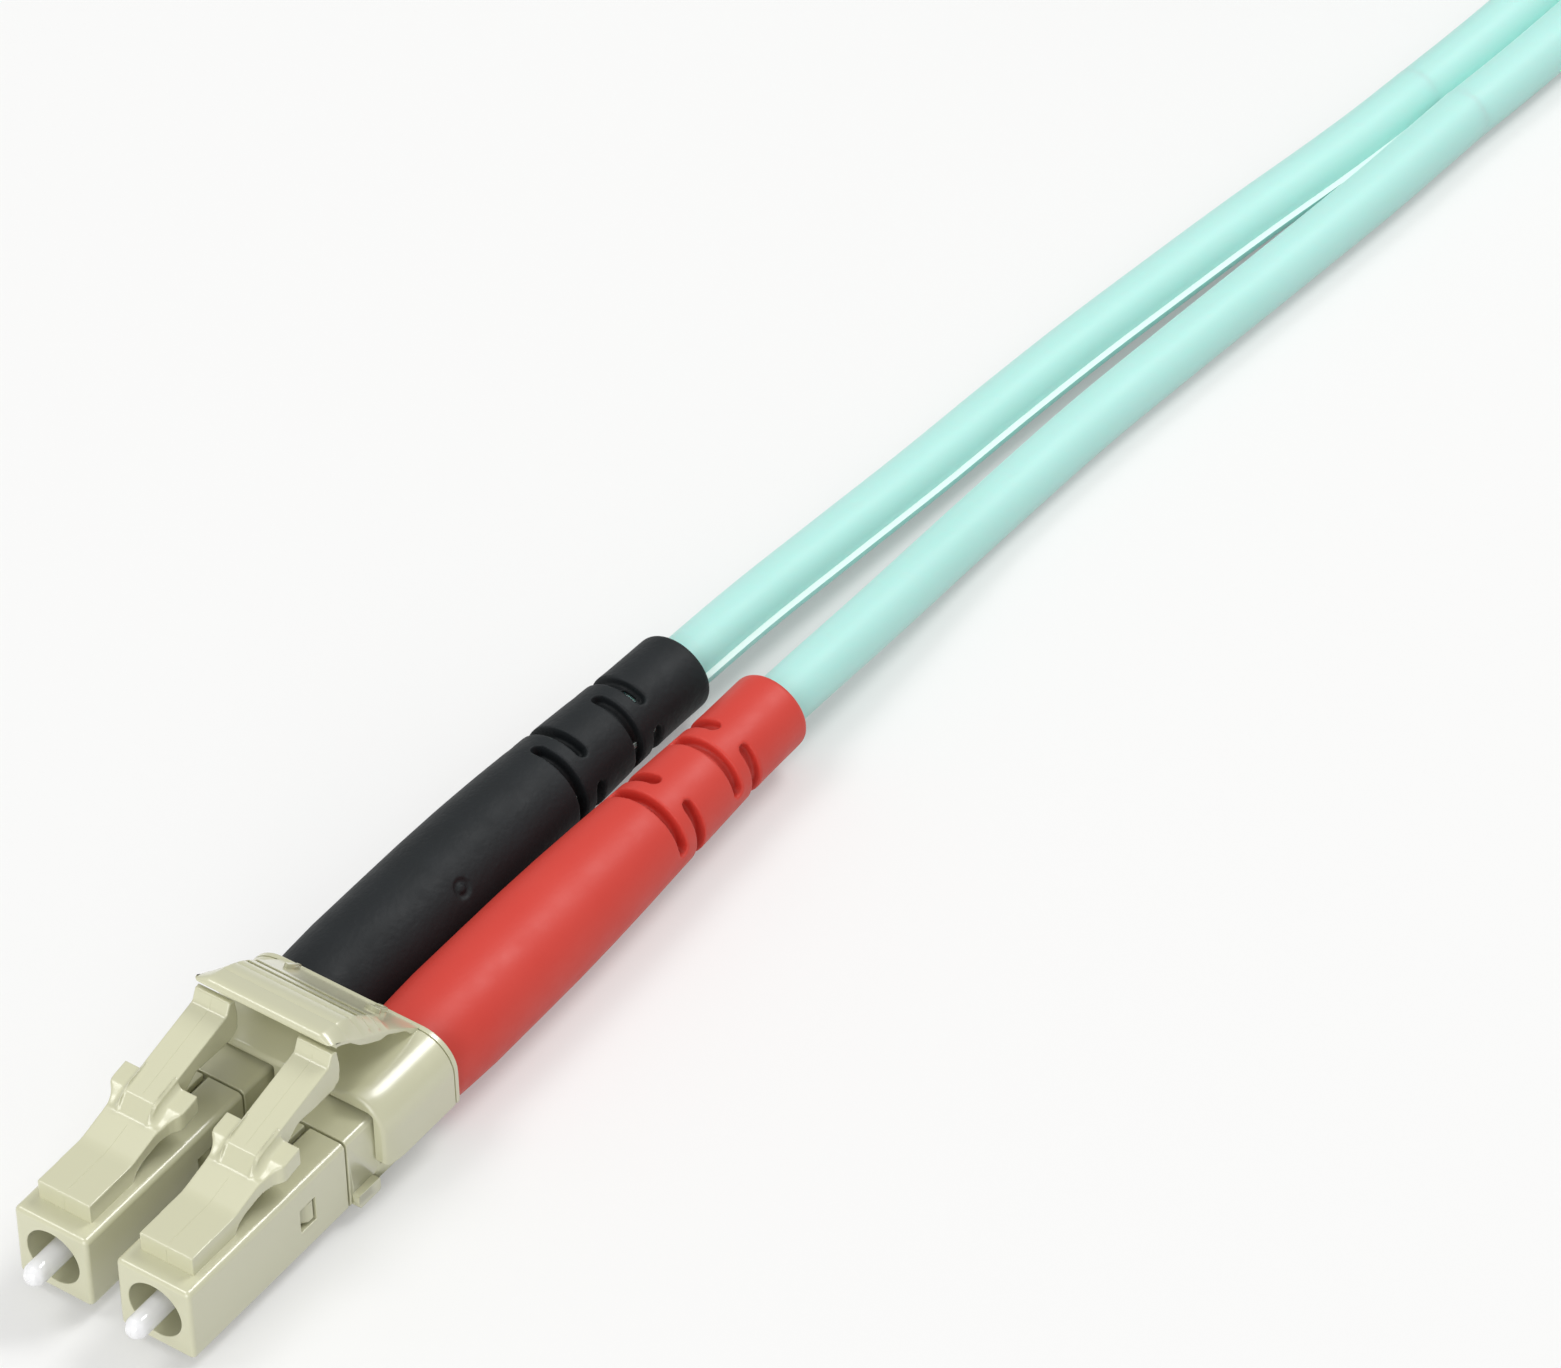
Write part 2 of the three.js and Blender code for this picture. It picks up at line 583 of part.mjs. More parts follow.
// The bent plate that both latch arms are pressed with, from its rounded root to the lip over their tails.
function trigger() {
  const side = new THREE.Shape();
  side.absarc(TRIGGER_HINGE_X, TRIGGER_HINGE_Z, TRIGGER_HINGE_R, -0.75 * Math.PI, 0.3 * Math.PI);
  for (const [x, z] of [...TRIGGER_TOP, ...TRIGGER_UNDER]) side.lineTo(TRIGGER_HINGE_X + x, TRIGGER_HINGE_Z + z);
  return prismY(side, TRIGGER_HALF, 5);
}

function connector(end) {
  const group = new THREE.Group();
  const left = plug(end, "black");
  left.position.y = PITCH / 2;
  const right = plug(end, "red");
  right.position.y = -PITCH / 2;
  group.add(left, right);
  group.add(named(`${end}_duplex_clip`, duplexClip(), BEIGE));
  group.add(named(`${end}_trigger`, trigger(), BEIGE));
  return group;
}

// ---------------------------------------------------------------- where the two connectors lie
const CONNECTOR_L = FERRULE_OUT + BOOT_X + BOOT_L;
const NEAR_AT = new THREE.Vector3(FERRULE_OUT - CONNECTOR_L / 2, 0, BOOT_R);
const COIL_TOP = COIL_Z + COIL_LAYER + CORD_H / 2 - 0.2;
const FAR_AT = new THREE.Vector3(
  COIL_CENTRE[0] + 0.5757 * COIL_OUTER_R - BOOT_X - BOOT_L,
  COIL_CENTRE[1] + 0.6908 * COIL_OUTER_R,
  COIL_TOP + GAP + BOOT_R,
);
const LEG_START = BODY_END + GAP + SLEEVE_L + 0.5; // inside the boot, behind the crimp sleeve

// ---------------------------------------------------------------- the cord
const up = new THREE.Vector3(0, 0, 1);

// Section of the two-core cord, round the outside: a across the pair's thin side, b along its wide side.
const SECTION = [
  [-0.6 * LEG_R, -CORD_H / 2 + FLAT_CUT],
  [0.6 * LEG_R, -CORD_H / 2 + FLAT_CUT],
  [LEG_R, -WEB / 2],
  [0.37 * LEG_R, 0],
  [LEG_R, WEB / 2],
  [LEG_R / 2, CORD_H / 2 - 0.2],
  [-LEG_R / 2, CORD_H / 2 - 0.2],
  [-LEG_R, WEB / 2],
  [-0.37 * LEG_R, 0],
  [-LEG_R, -WEB / 2],
];

// One ring of the section at a point, facing along a plan direction, turned from flat (0) to on edge (90).
function cordRing(point, heading, twist) {
  const across = new THREE.Vector3().crossVectors(up, heading).normalize();
  const angle = THREE.MathUtils.degToRad(90 - twist);
  return SECTION.map(([a, b]) => {
    const sideways = a * Math.cos(angle) + b * Math.sin(angle);
    const upwards = b * Math.cos(angle) - a * Math.sin(angle);
    return point.clone().addScaledVector(across, sideways).addScaledVector(up, upwards);
  });
}

const lowestAt = (twist) =>
  Math.min(...cordRing(new THREE.Vector3(), new THREE.Vector3(1, 0, 0), twist).map((p) => p.z));

const smooth = (u) => u * u * (3 - 2 * u);
const clamp01 = (u) => Math.min(1, Math.max(0, u));

// A free stretch of the two-core cord along hand-chosen points; twistAt gives its turn along the way.
function cordAlong(points, steps, twistAt, onSurface) {
  const curve = new THREE.CatmullRomCurve3(points, false, "centripetal");
  const rings = [];
  for (let i = 0; i <= steps; i++) {
    const u = i / steps;
    const p = curve.getPointAt(u);
    const heading = curve.getTangentAt(u).setZ(0).normalize();
    const twist = twistAt(u);
    if (onSurface) p.z = -lowestAt(twist);
    rings.push(cordRing(p, heading, twist));
  }
  return { geometry: loft(rings), length: curve.getLength() };
}

// One round leg along its points.
function legAlong(points, steps) {
  const curve = new THREE.CatmullRomCurve3(points, false, "centripetal");
  const section = new THREE.Shape();
  section.absarc(0, 0, LEG_R, 0, 2 * Math.PI);
  const options = { steps, bevelEnabled: false, extrudePath: curve, curveSegments: 4 };
  return { geometry: new THREE.ExtrudeGeometry(section, options), length: curve.getLength() };
}

const SPLIT_X = 83.5; // where the near legs join
const SPLIT = new THREE.Vector3(SPLIT_X, -3.95, LEG_R);
const COIL_START = new THREE.Vector3(COIL_CENTRE[0], COIL_CENTRE[1] - COIL_OUTER_R, COIL_Z);
const at = (x, y, z) => new THREE.Vector3(x, y, z);

function nearLeg(side) {
  const hand = side === "black" ? 1 : -1;
  const y = (hand * PITCH) / 2;
  const mouth = NEAR_AT.x + BOOT_X + BOOT_L;
  const rest = LEG_R + 0.05;
  // A free leg's point: how far outside its place in the joined pair, and its height as a share of the boot's.
  const lying = (x, out, share) => at(x, out + (hand * WEB) / 2, rest + (BOOT_R - rest) * share);
  const inBoot = [at(NEAR_AT.x + LEG_START, y, BOOT_R), at(mouth - 12, y, BOOT_R), at(mouth, y, BOOT_R)];
  const free = {
    black: [
      lying(32.5, 1.4, 0.82),
      lying(39.5, 0.95, 0.41),
      lying(46.5, 0.4, 0.1),
      lying(53.5, -0.15, 0),
      lying(59.8, -0.75, 0),
      lying(66.1, -1.51, 0),
      lying(72.6, -2.3, 0),
      lying(79.1, -3.3, 0),
      lying(SPLIT_X - 0.3, SPLIT.y + 0.02, 0),
    ],
    red: [
      lying(36, -1.55, 0.55),
      lying(45.5, -1.45, 0.03),
      lying(54.7, -1.71, 0),
      lying(62, -2.2, 0),
      lying(72.5, -3.1, 0),
      lying(79.1, -3.67, 0),
      lying(SPLIT_X - 0.5, SPLIT.y + 0.02, 0),
    ],
  };
  return legAlong([...inBoot, ...free[side]], 22);
}

function nearZip() {
  const end = COIL_START.clone().add(at(-CORD_H - GAP, 0, 0));
  const points = [
    SPLIT,
    at(90.5, -4.42, LEG_R),
    at(97.5, -4.85, LEG_R),
    at(108, -5.35, LEG_R),
    at(121, end.y + 0.05, LEG_R),
    at(end.x - CORD_H, end.y, LEG_R),
    end,
  ];
  return cordAlong(points, 24, (u) => 90 * smooth(clamp01((u - 0.2) / 0.66)), true);
}

// The loops lie on edge: they spiral in on the surface, climb while the spiral turns, and spiral out on top.
function coilPoint(turn) {
  const radius = COIL_INNER_R + COIL_PITCH * Math.abs(turn - TURNS_PER_LAYER);
  const angle = -Math.PI / 2 + turn * 2 * Math.PI;
  const climb = smooth(clamp01((turn - TURNS_PER_LAYER) * 2 + 0.5));
  const fromTie = Math.abs(((THREE.MathUtils.radToDeg(angle) - TIE_ANGLE + 180 + 720) % 360) - 180);
  const lift = (TIE_T + GAP) * smooth(clamp01((TIE_SPAN - fromTie) / (TIE_SPAN - 13)));
  return at(
    COIL_CENTRE[0] + radius * Math.cos(angle),
    COIL_CENTRE[1] + radius * Math.sin(angle),
    COIL_Z + COIL_LAYER * climb + lift,
  );
}

function coilLoops() {
  const turns = 2 * TURNS_PER_LAYER;
  const steps = Math.round(turns * STEPS_PER_TURN);
  const headingAt = (turn) => {
    const angle = turn * 2 * Math.PI;
    return at(Math.cos(angle), Math.sin(angle), 0);
  };
  const points = [];
  const rings = [];
  const startAt = coilPoint(0).addScaledVector(headingAt(0), -CORD_H);
  rings.push(cordRing(startAt, headingAt(0), 90));
  points.push(startAt);
  for (let i = 0; i <= steps; i++) {
    const turn = (turns * i) / steps;
    const p = coilPoint(turn);
    points.push(p);
    rings.push(cordRing(p, headingAt(turn), 90));
  }
  const endAt = coilPoint(turns).addScaledVector(headingAt(turns), CORD_H);
  points.push(endAt);
  rings.push(cordRing(endAt, headingAt(turns), 90));
  let length = 0;
  for (let i = 1; i < points.length; i++) length += points[i].distanceTo(points[i - 1]);
  return { geometry: loft(rings), length, end: endAt, heading: headingAt(turns) };
}

// Least gap of the coil to itself, from the middles of its two cores one loop or more apart.
function leastCoilGap() {
  const cores = [];
  const perTurn = 72;
  for (let i = 0; i <= 2 * TURNS_PER_LAYER * perTurn; i++) {
    for (const dz of [-WEB / 2, WEB / 2]) {
      cores.push({ i, p: coilPoint(i / perTurn).add(at(0, 0, dz)) });
    }
  }
  let least = Infinity;
  for (const one of cores) {
    for (const two of cores) {
      if (two.i - one.i > perTurn / 4) least = Math.min(least, one.p.distanceTo(two.p) - 2 * LEG_R);
    }
  }
  return least;
}

const coil = coilLoops();
// A point over the coil, as shares of its outer radius from its centre.
const overCoil = (x, y, z) => at(COIL_CENTRE[0] + x * COIL_OUTER_R, COIL_CENTRE[1] + y * COIL_OUTER_R, z);
const FAR_SPLIT = overCoil(0.881, -0.472, COIL_TOP + GAP + CORD_H / 2);

// From the coil's end the cord climbs on edge onto the coil.
function farZip() {
  const start = coil.end.clone().addScaledVector(coil.heading, GAP);
  const along = (x, y, share) => overCoil(x, y, start.z + (FAR_SPLIT.z - start.z) * share);
  const points = [
    start,
    start.clone().addScaledVector(coil.heading, CORD_H / 3),
    along(0.6505, -0.8117, 0.28),
    along(0.7398, -0.7139, 0.62),
    along(0.8233, -0.593, 0.92),
    FAR_SPLIT,
  ];
  return cordAlong(points, 8, () => 90, false);
}

function farLeg(side) {
  const mouth = FAR_AT.x + BOOT_X + BOOT_L;
  const y = FAR_AT.y + (side === "black" ? 1 : -1) * (PITCH / 2);
  const inBoot = [at(FAR_AT.x + LEG_START, y, FAR_AT.z), at(mouth - 12, y, FAR_AT.z), at(mouth, y, FAR_AT.z)];
  const low = FAR_SPLIT.z - WEB / 2;
  const high = FAR_SPLIT.z + WEB / 2;
  const free = {
    black: [
      overCoil(0.7771, 0.7743, FAR_AT.z),
      overCoil(0.9786, 0.6678, FAR_AT.z + 0.1),
      overCoil(1.0995, 0.4605, FAR_AT.z + 0.4),
      overCoil(1.1225, 0.2303, high - 0.7),
      overCoil(1.088, -0.0144, high - 0.2),
      overCoil(1.0132, -0.2418, high),
      overCoil(0.8894, -0.4605, high),
    ],
    red: [
      overCoil(0.7484, 0.5929, FAR_AT.z - 0.1),
      overCoil(0.8923, 0.5123, FAR_AT.z - 0.6),
      overCoil(0.9844, 0.3598, low + 0.4),
      overCoil(1.0189, 0.1727, low + 0.1),
      overCoil(1.0218, -0.0288, low),
      overCoil(0.9758, -0.2533, low),
      overCoil(0.8894, -0.4605, low),
    ],
  };
  return legAlong([...inBoot, ...free[side]], 22);
}

// The strap round the coil's loops.
function coilTie() {
  const halfSpan = (COIL_OUTER_R - COIL_INNER_R) / 2 + LEG_R;
  const innerHalf = halfSpan + 0.75;
  const top = COIL_TOP + TIE_T + GAP + GAP + TIE_T;
  const outer = roundedRect(innerHalf + TIE_T, 0, top, 1.4);
  outer.holes.push(roundedRect(innerHalf, TIE_T, top - TIE_T, 0.8));
  const strap = new THREE.ExtrudeGeometry(outer, { depth: TIE_W, bevelEnabled: false, curveSegments: 3 });
  strap.translate(0, 0, -TIE_W / 2).rotateX(Math.PI / 2);
  const angle = THREE.MathUtils.degToRad(TIE_ANGLE);
  const middle = (COIL_OUTER_R + COIL_INNER_R) / 2;
  strap.rotateZ(angle);
  strap.translate(COIL_CENTRE[0] + middle * Math.cos(angle), COIL_CENTRE[1] + middle * Math.sin(angle), 0);
  return strap;
}

// ---------------------------------------------------------------- assembly
const patchCord = new THREE.Group();
const near = connector("near");
near.position.copy(NEAR_AT);
const far = connector("far");
far.position.copy(FAR_AT);
patchCord.add(near, far);

const stretches = {
  near_black_leg: nearLeg("black"),
  near_red_leg: nearLeg("red"),
  near_zip_cord: nearZip(),
  coiled_cord: coil,
  far_zip_cord: farZip(),
  far_black_leg: farLeg("black"),
  far_red_leg: farLeg("red"),
};
for (const [name, stretch] of Object.entries(stretches)) {
  patchCord.add(named(name, stretch.geometry, AQUA));
}
patchCord.add(named("coil_tie", coilTie(), TIE_BLACK));

const inBootLength = BOOT_X + BOOT_L - LEG_START;
const oneWay = ["near_black_leg", "near_zip_cord", "coiled_cord", "far_zip_cord", "far_black_leg"];
const cordLength = oneWay.reduce((sum, name) => sum + stretches[name].length, 0) - 2 * inBootLength;
console.log("cord between the boot mouths " + cordLength.toFixed(1) + " mm");
console.log("least gap of the coil to itself " + leastCoilGap().toFixed(2) + " mm");

export default patchCord;
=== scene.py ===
# %% [markdown]
# # Duplex fibre patch cord
# Two glass fibres, each in its own round aqua jacket, run side by side as one cord. Each end splits
# into two legs, and every leg ends in a small square plug. A clip holds the two plugs together and
# carries one trigger that bends both latches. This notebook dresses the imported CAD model: it keeps
# every piece where the CAD has it and gives it moulded edges, true curves and finishes.
#
# Everything is in metres, +Z up, +X from the near ferrules towards the cord.

# %% Load the frame
import math
import bmesh
import bpy
from mathutils import Matrix, Vector


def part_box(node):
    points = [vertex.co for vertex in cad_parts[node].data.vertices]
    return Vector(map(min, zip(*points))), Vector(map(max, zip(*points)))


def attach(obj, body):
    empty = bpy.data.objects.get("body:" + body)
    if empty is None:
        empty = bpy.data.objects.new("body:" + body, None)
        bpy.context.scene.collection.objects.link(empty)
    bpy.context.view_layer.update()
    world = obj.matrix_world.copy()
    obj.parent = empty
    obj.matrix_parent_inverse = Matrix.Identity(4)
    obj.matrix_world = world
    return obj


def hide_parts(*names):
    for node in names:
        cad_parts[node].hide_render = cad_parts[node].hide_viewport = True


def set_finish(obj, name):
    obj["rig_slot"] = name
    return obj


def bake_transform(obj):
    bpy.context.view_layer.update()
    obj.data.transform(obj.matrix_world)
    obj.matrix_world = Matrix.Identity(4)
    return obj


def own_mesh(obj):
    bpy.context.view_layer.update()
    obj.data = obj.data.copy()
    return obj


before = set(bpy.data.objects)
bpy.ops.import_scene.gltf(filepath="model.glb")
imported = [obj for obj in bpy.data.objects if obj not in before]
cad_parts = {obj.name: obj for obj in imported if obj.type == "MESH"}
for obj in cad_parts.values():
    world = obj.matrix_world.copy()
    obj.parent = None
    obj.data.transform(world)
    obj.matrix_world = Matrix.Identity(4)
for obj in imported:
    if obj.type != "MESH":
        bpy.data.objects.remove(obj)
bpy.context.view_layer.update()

# %% [markdown]
# A long lens from half a metre away gives the flat perspective of a catalogue picture. The camera's axes
# are built from azimuth, elevation and lean, so the picture can be turned a little about the line of
# sight.

# %% Camera
AIM = Vector((0.03007534, -0.00091409, 0.00074))
AZIMUTH, ELEVATION, LEAN = (math.radians(a) for a in (-142.93566, 42.98819, -2.09297))
DISTANCE = 0.5498006
LENS_PER_WIDTH = 10731.742 / 1561  # focal length over picture width
UP = Vector((0, 0, 1))


def shown(name, data):
    """Puts data on the scene as an object."""
    thing = bpy.data.objects.new(name, data)
    bpy.context.scene.collection.objects.link(thing)
    return thing


flat = math.cos(ELEVATION)
back = Vector((flat * math.cos(AZIMUTH), flat * math.sin(AZIMUTH), math.sin(ELEVATION)))
sideways = UP.cross(back).normalized()
upright = back.cross(sideways)
right = sideways * math.cos(LEAN) + upright * math.sin(LEAN)
above = upright * math.cos(LEAN) - sideways * math.sin(LEAN)
camera_data = bpy.data.cameras.new("catalogue_camera")
camera_data.sensor_width = 36
camera_data.lens = LENS_PER_WIDTH * camera_data.sensor_width
camera = shown("catalogue_camera", camera_data)
camera_turn = Matrix((right, above, back)).transposed().to_4x4()
camera.matrix_world = Matrix.Translation(AIM + back * DISTANCE) @ camera_turn
bpy.context.scene.camera = camera
bpy.context.scene.view_settings.view_transform = "Standard"
print("lens %.1f mm at %.0f mm" % (camera_data.lens, DISTANCE * 1000))

# %% [markdown]
# ## Tools for making shapes
# Each moulded part is modelled in its own frame in millimetres and is scaled only when it is put in its
# place. Nearly every shape is a row of rings of equal length, skinned over. `settle` turns a stack of
# modifiers into a finished mesh.

# %% Make, skin and settle a mesh
MM = 0.001


def make(points, faces, name="tool"):
    mesh = bpy.data.meshes.new(name)
    mesh.from_pydata([tuple(p) for p in points], [], faces)
    mesh.validate()
    mesh.update()
    return shown(name, mesh)


def tidy(piece):
    """Merges points that coincide and turns all faces outwards."""
    work = bmesh.new()
    work.from_mesh(piece.data)
    bmesh.ops.remove_doubles(work, verts=work.verts, dist=1e-5)
    bmesh.ops.recalc_face_normals(work, faces=work.faces)
    work.to_mesh(piece.data)
    work.free()
    return piece


def skin(rings, caps=True):
    n = len(rings[0])
    last = (len(rings) - 1) * n
    faces = [tuple(range(n - 1, -1, -1)), tuple(range(last, last + n))] if caps else []
    for i in range(last):
        after = i + 1 if (i + 1) % n else i + 1 - n
        faces.append((i, after, after + n, i + n))
    return tidy(make([p for ring in rings for p in ring], faces))


def assign(thing, **settings):
    for key, value in settings.items():
        setattr(thing, key, value)
    return thing


def modify(piece, kind, **settings):
    assign(piece.modifiers.new(kind, kind), **settings)


def settle(piece):
    view = bpy.context.evaluated_depsgraph_get()
    mesh = bpy.data.meshes.new_from_object(piece.evaluated_get(view))
    old = piece.data
    piece.modifiers.clear()
    piece.data = mesh
    bpy.data.meshes.remove(old)
    return piece


def discard(piece):
    mesh = piece.data
    bpy.data.objects.remove(piece)
    bpy.data.meshes.remove(mesh)


def tell(label, piece):
    print(label, len(piece.data.polygons), "faces")


print("one millimetre is", MM)

# %% [markdown]
# A moulding is mostly side views pushed through a width. `rounded` takes a side view's corners, with a
# radius for each, and puts a true arc in every corner. `prism` pushes the result along X, Y or Z.

# %% Rounded outlines and prisms
def rounded(corners, radius=0.1, steps=5):
    """corners are (a, b) or (a, b, radius); a radius shrinks where its sides are short."""
    out = []
    for i, corner in enumerate(corners):
        here = Vector(corner[:2])
        to_before = Vector(corners[i - 1][:2]) - here
        to_after = Vector(corners[(i + 1) % len(corners)][:2]) - here
        bend = to_before.angle(to_after)
        r = corner[2] if len(corner) > 2 else radius
        if r <= 0 or bend > math.radians(176):
            out.append(here)
            continue
        reach = min(r / math.tan(bend / 2), 0.48 * to_before.length, 0.48 * to_after.length)
        r = reach * math.tan(bend / 2)
        to_before.normalize()
        to_after.normalize()
        middle = here + (to_before + to_after).normalized() * (r / math.sin(bend / 2))
        start = here + to_before * reach - middle
        end = here + to_after * reach - middle
        sweep = start.angle_signed(end)
        for k in range(steps + 1):
            out.append(middle + Matrix.Rotation(-sweep * k / steps, 2) @ start)
    return out


def prism(outline, axis, low, high):
    """Pushes an outline along an axis; its two numbers are the other two axes in the order x, y, z."""
    slot = "xyz".index(axis)
    return skin([[(*p[:slot], level, *p[slot:]) for p in outline] for level in (low, high)])


def block(x0, x1, y0, y1, z0, z1):
    return prism([(y0, z0), (y1, z0), (y1, z1), (y0, z1)], "x", x0, x1)


def handed(hand, x0, x1, y0, y1, z0, z1):
    """A block beside the middle: as given for hand 1, mirrored for hand -1."""
    return block(x0, x1, *sorted((hand * y0, hand * y1)), z0, z1)


def square(half_w, low, high, radius, steps=6):
    return rounded([(half_w, low), (half_w, high), (-half_w, high), (-half_w, low)], radius, steps)


HANDS = (1, -1)
print("corner points", len(square(1, -1, 1, 0.2)))

# %% [markdown]
# Round parts are turned: a row of (x, radius) pairs is spun about the X axis. A tube's row closes on
# itself, and a solid's row starts and ends at radius 0, so neither needs a cap.

# %% Turned parts
def turned(profile, sides=64):
    spin = [2 * math.pi * k / sides for k in range(sides)]
    return skin([[(x, r * math.cos(a), r * math.sin(a)) for a in spin] for x, r in profile], caps=False)


def rod(x0, x1, radius, sides=64):
    return turned([(x0, 0), (x0, radius), (x1, radius), (x1, 0)], sides)


print("a turned part has 64 sides unless it says otherwise")

# %% [markdown]
# Pieces are joined and cut with exact booleans. A bevel then rounds the sharp edges that are left, and
# weighted normals keep the flat faces flat while the small rounds catch the light. That thin bright line
# is what makes a part look moulded.

# %% Joining, cutting and softening
def combine(piece, tools, operation):
    for tool in tools:
        modify(piece, "BOOLEAN", operation=operation, solver="EXACT", object=tool)
    settle(piece)
    for tool in tools:
        discard(tool)
    return piece


def cut(piece, *tools):
    return combine(piece, tools, "DIFFERENCE")


def join(piece, *tools):
    return combine(piece, tools, "UNION")


def soften(piece, width, angle=38):
    modify(piece, "BEVEL", width=width, segments=3, limit_method="ANGLE",
           angle_limit=math.radians(angle), use_clamp_overlap=True)
    piece.data.shade_smooth()
    modify(piece, "WEIGHTED_NORMAL", keep_sharp=False, weight=80)
    settle(piece)


def smooth_faces(piece, angle):
    piece.data.shade_smooth()
    piece.data.set_sharp_from_angle(angle=math.radians(angle))
    return piece


print("booleans are exact")

# %% [markdown]
# Latches and boots have soft inner corners, which a bevel can't make. They are poured instead: the
# rough shape is rebuilt as a fine even skin and then relaxed, so outer edges round off and inner
# corners fill, as molten plastic would.

# %% Pouring a moulded shape
def poured(piece, grain, rounds, keep):
    modify(piece, "REMESH", mode="VOXEL", voxel_size=grain, use_smooth_shade=True)
    modify(piece, "SMOOTH", factor=0.5, iterations=rounds)
    settle(piece)
    modify(piece, "DECIMATE", ratio=keep)
    settle(piece).data.shade_smooth()


print("poured shapes use a voxel skin")

# %% [markdown]
# A finished pattern is copied into its place in the frame. The copy takes a name and a finish, stands
# in for its CAD nodes and rides on a body. Rings that already lie in place are drawn at once.

# %% Placed copies
ROOT = "cord_and_housings"
PIECES = []


def placed(pattern, name, at=(0, 0, 0)):
    mesh = pattern.data.copy()
    mesh.transform(Matrix.Scale(MM, 4) @ Matrix.Translation(at))
    mesh.name = name
    return shown(name, mesh)


def drawn(rings, name, angle, place=Matrix()):
    pattern = skin(rings)
    pattern.data.transform(place)
    piece = smooth_faces(placed(pattern, name), angle)
    discard(pattern)
    return piece


def stand_in(piece, slot, *nodes):
    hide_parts(*nodes)
    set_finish(piece, slot)
    PIECES.append(piece)
    return piece


def riding(piece, slot, *nodes, body=ROOT):
    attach(piece, body)
    return stand_in(piece, slot, *nodes)


print("patterns are copied, never shared")

# %% [markdown]
# ## Where the plugs are
# A plug's own frame has x = 0 on its front face and z = 0 on the ferrule's axis. The CAD box of each
# ferrule gives that place exactly: the ferrule stands 1.9 mm out of the front face.

# %% Places of the four plugs
FERRULE_OUT = 1.9
SIDES = ("black", "red")
NEAR_BLACK = "near", "black"


def box_mm(node):
    return [Vector(corner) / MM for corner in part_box(node)]


PLUG_AT = {}
for end in ("near", "far"):
    for side in SIDES:
        least, most = box_mm(f"{end}_{side}_ferrule")
        middle = (least + most) / 2
        PLUG_AT[end, side] = Vector((least.x + FERRULE_OUT, middle.y, middle.z))
CONNECTOR_AT = {end: (PLUG_AT[end, "black"] + PLUG_AT[end, "red"]) / 2 for end in ("near", "far")}
print({key: [round(v, 3) for v in at] for key, at in PLUG_AT.items()})

# %% [markdown]
# ## The cord's route
# The jackets are stiff and lie in long gentle curves. A centripetal Catmull-Rom curve goes through every
# route point without a kink, and it is resampled evenly.

# %% A smooth route through points
def smooth_route(points, steps):
    row = [Vector(p) for p in points]
    row = [2 * row[0] - row[1], *row, 2 * row[-1] - row[-2]]
    fine = []
    for a, b, c, d in zip(row, row[1:], row[2:], row[3:]):
        t1 = (b - a).length ** 0.5
        t2 = t1 + (c - b).length ** 0.5
        t3 = t2 + (d - c).length ** 0.5
        for k in range(30):
            t = t1 + (t2 - t1) * k / 30
            p, q, r = a.lerp(b, t / t1), b.lerp(c, (t - t1) / (t2 - t1)), c.lerp(d, (t - t2) / (t3 - t2))
            fine.append(p.lerp(q, t / t2).lerp(q.lerp(r, (t - t1) / (t3 - t1)), (t - t1) / (t2 - t1)))
    fine.append(row[-2])
    return evenly(fine, steps)


def evenly(fine, steps):
    far = [0.0]
    for a, b in zip(fine, fine[1:]):
        far.append(far[-1] + (b - a).length)
    out, i = [], 0
    for k in range(steps + 1):
        want = far[-1] * k / steps
        while i < len(far) - 2 and far[i + 1] < want:
            i += 1
        out.append(fine[i].lerp(fine[i + 1], (want - far[i]) / (far[i + 1] - far[i])))
    return out


def route_length(points):
    return sum((b - a).length for a, b in zip(points, points[1:]))


print("a straight test route", route_length(smooth_route([(0, 0, 0), (5, 0, 0), (10, 0, 0)], 8)))

# %% [markdown]
# Each core is 3 mm thick, and in the joined cord their middles lie 3.1 mm apart with a thin web between.
# The section is two full circles that meet in a narrow crease, with `a` across the pair's thin side and
# `b` along its wide side. Where the cord stands on edge, its weight flattens the lowest 0.3 mm.

# %% Section of the joined cord
CORE_R = 1.5
WEB = 3.1
CREASE = 0.2
FLATTENED = 0.3
start = math.asin(CREASE / CORE_R) - math.pi / 2
lobe = [start + (math.pi - 2 * start) * k / 16 for k in range(17)]
lobe = [(CORE_R * math.cos(angle), WEB / 2 + CORE_R * math.sin(angle)) for angle in lobe]
SECTION = lobe + [(-a, -b) for a, b in lobe]


def stood(twist):
    """The section sideways and upwards: twist 0 lays the pair flat, 90 stands it on edge."""
    angle = math.radians(90 - twist)
    c, s = math.cos(angle), math.sin(angle)
    return [(a * c + b * s, b * c - a * s) for a, b in SECTION]


def cord_ring(point, heading, twist):
    across = UP.cross(heading).normalized()
    ring = [point + across * sideways + UP * upwards for sideways, upwards in stood(twist)]
    for p in ring:
        p.z = max(p.z, 0.0)
    return ring


def resting_height(twist):
    return -min(upwards for sideways, upwards in stood(twist)) - FLATTENED * (twist / 90) ** 2


print("section points", len(SECTION), "width", round(2 * max(b for a, b in SECTION), 2))

# %% [markdown]
# The route keeps to the CAD's, in millimetres, apart from small shifts near the split. It runs from the
# split along the surface while it turns on edge, in and up through the coil, and over the coil to the
# far split. The picture shows its first 12 mm; the rest is put away as a coil just outside it.

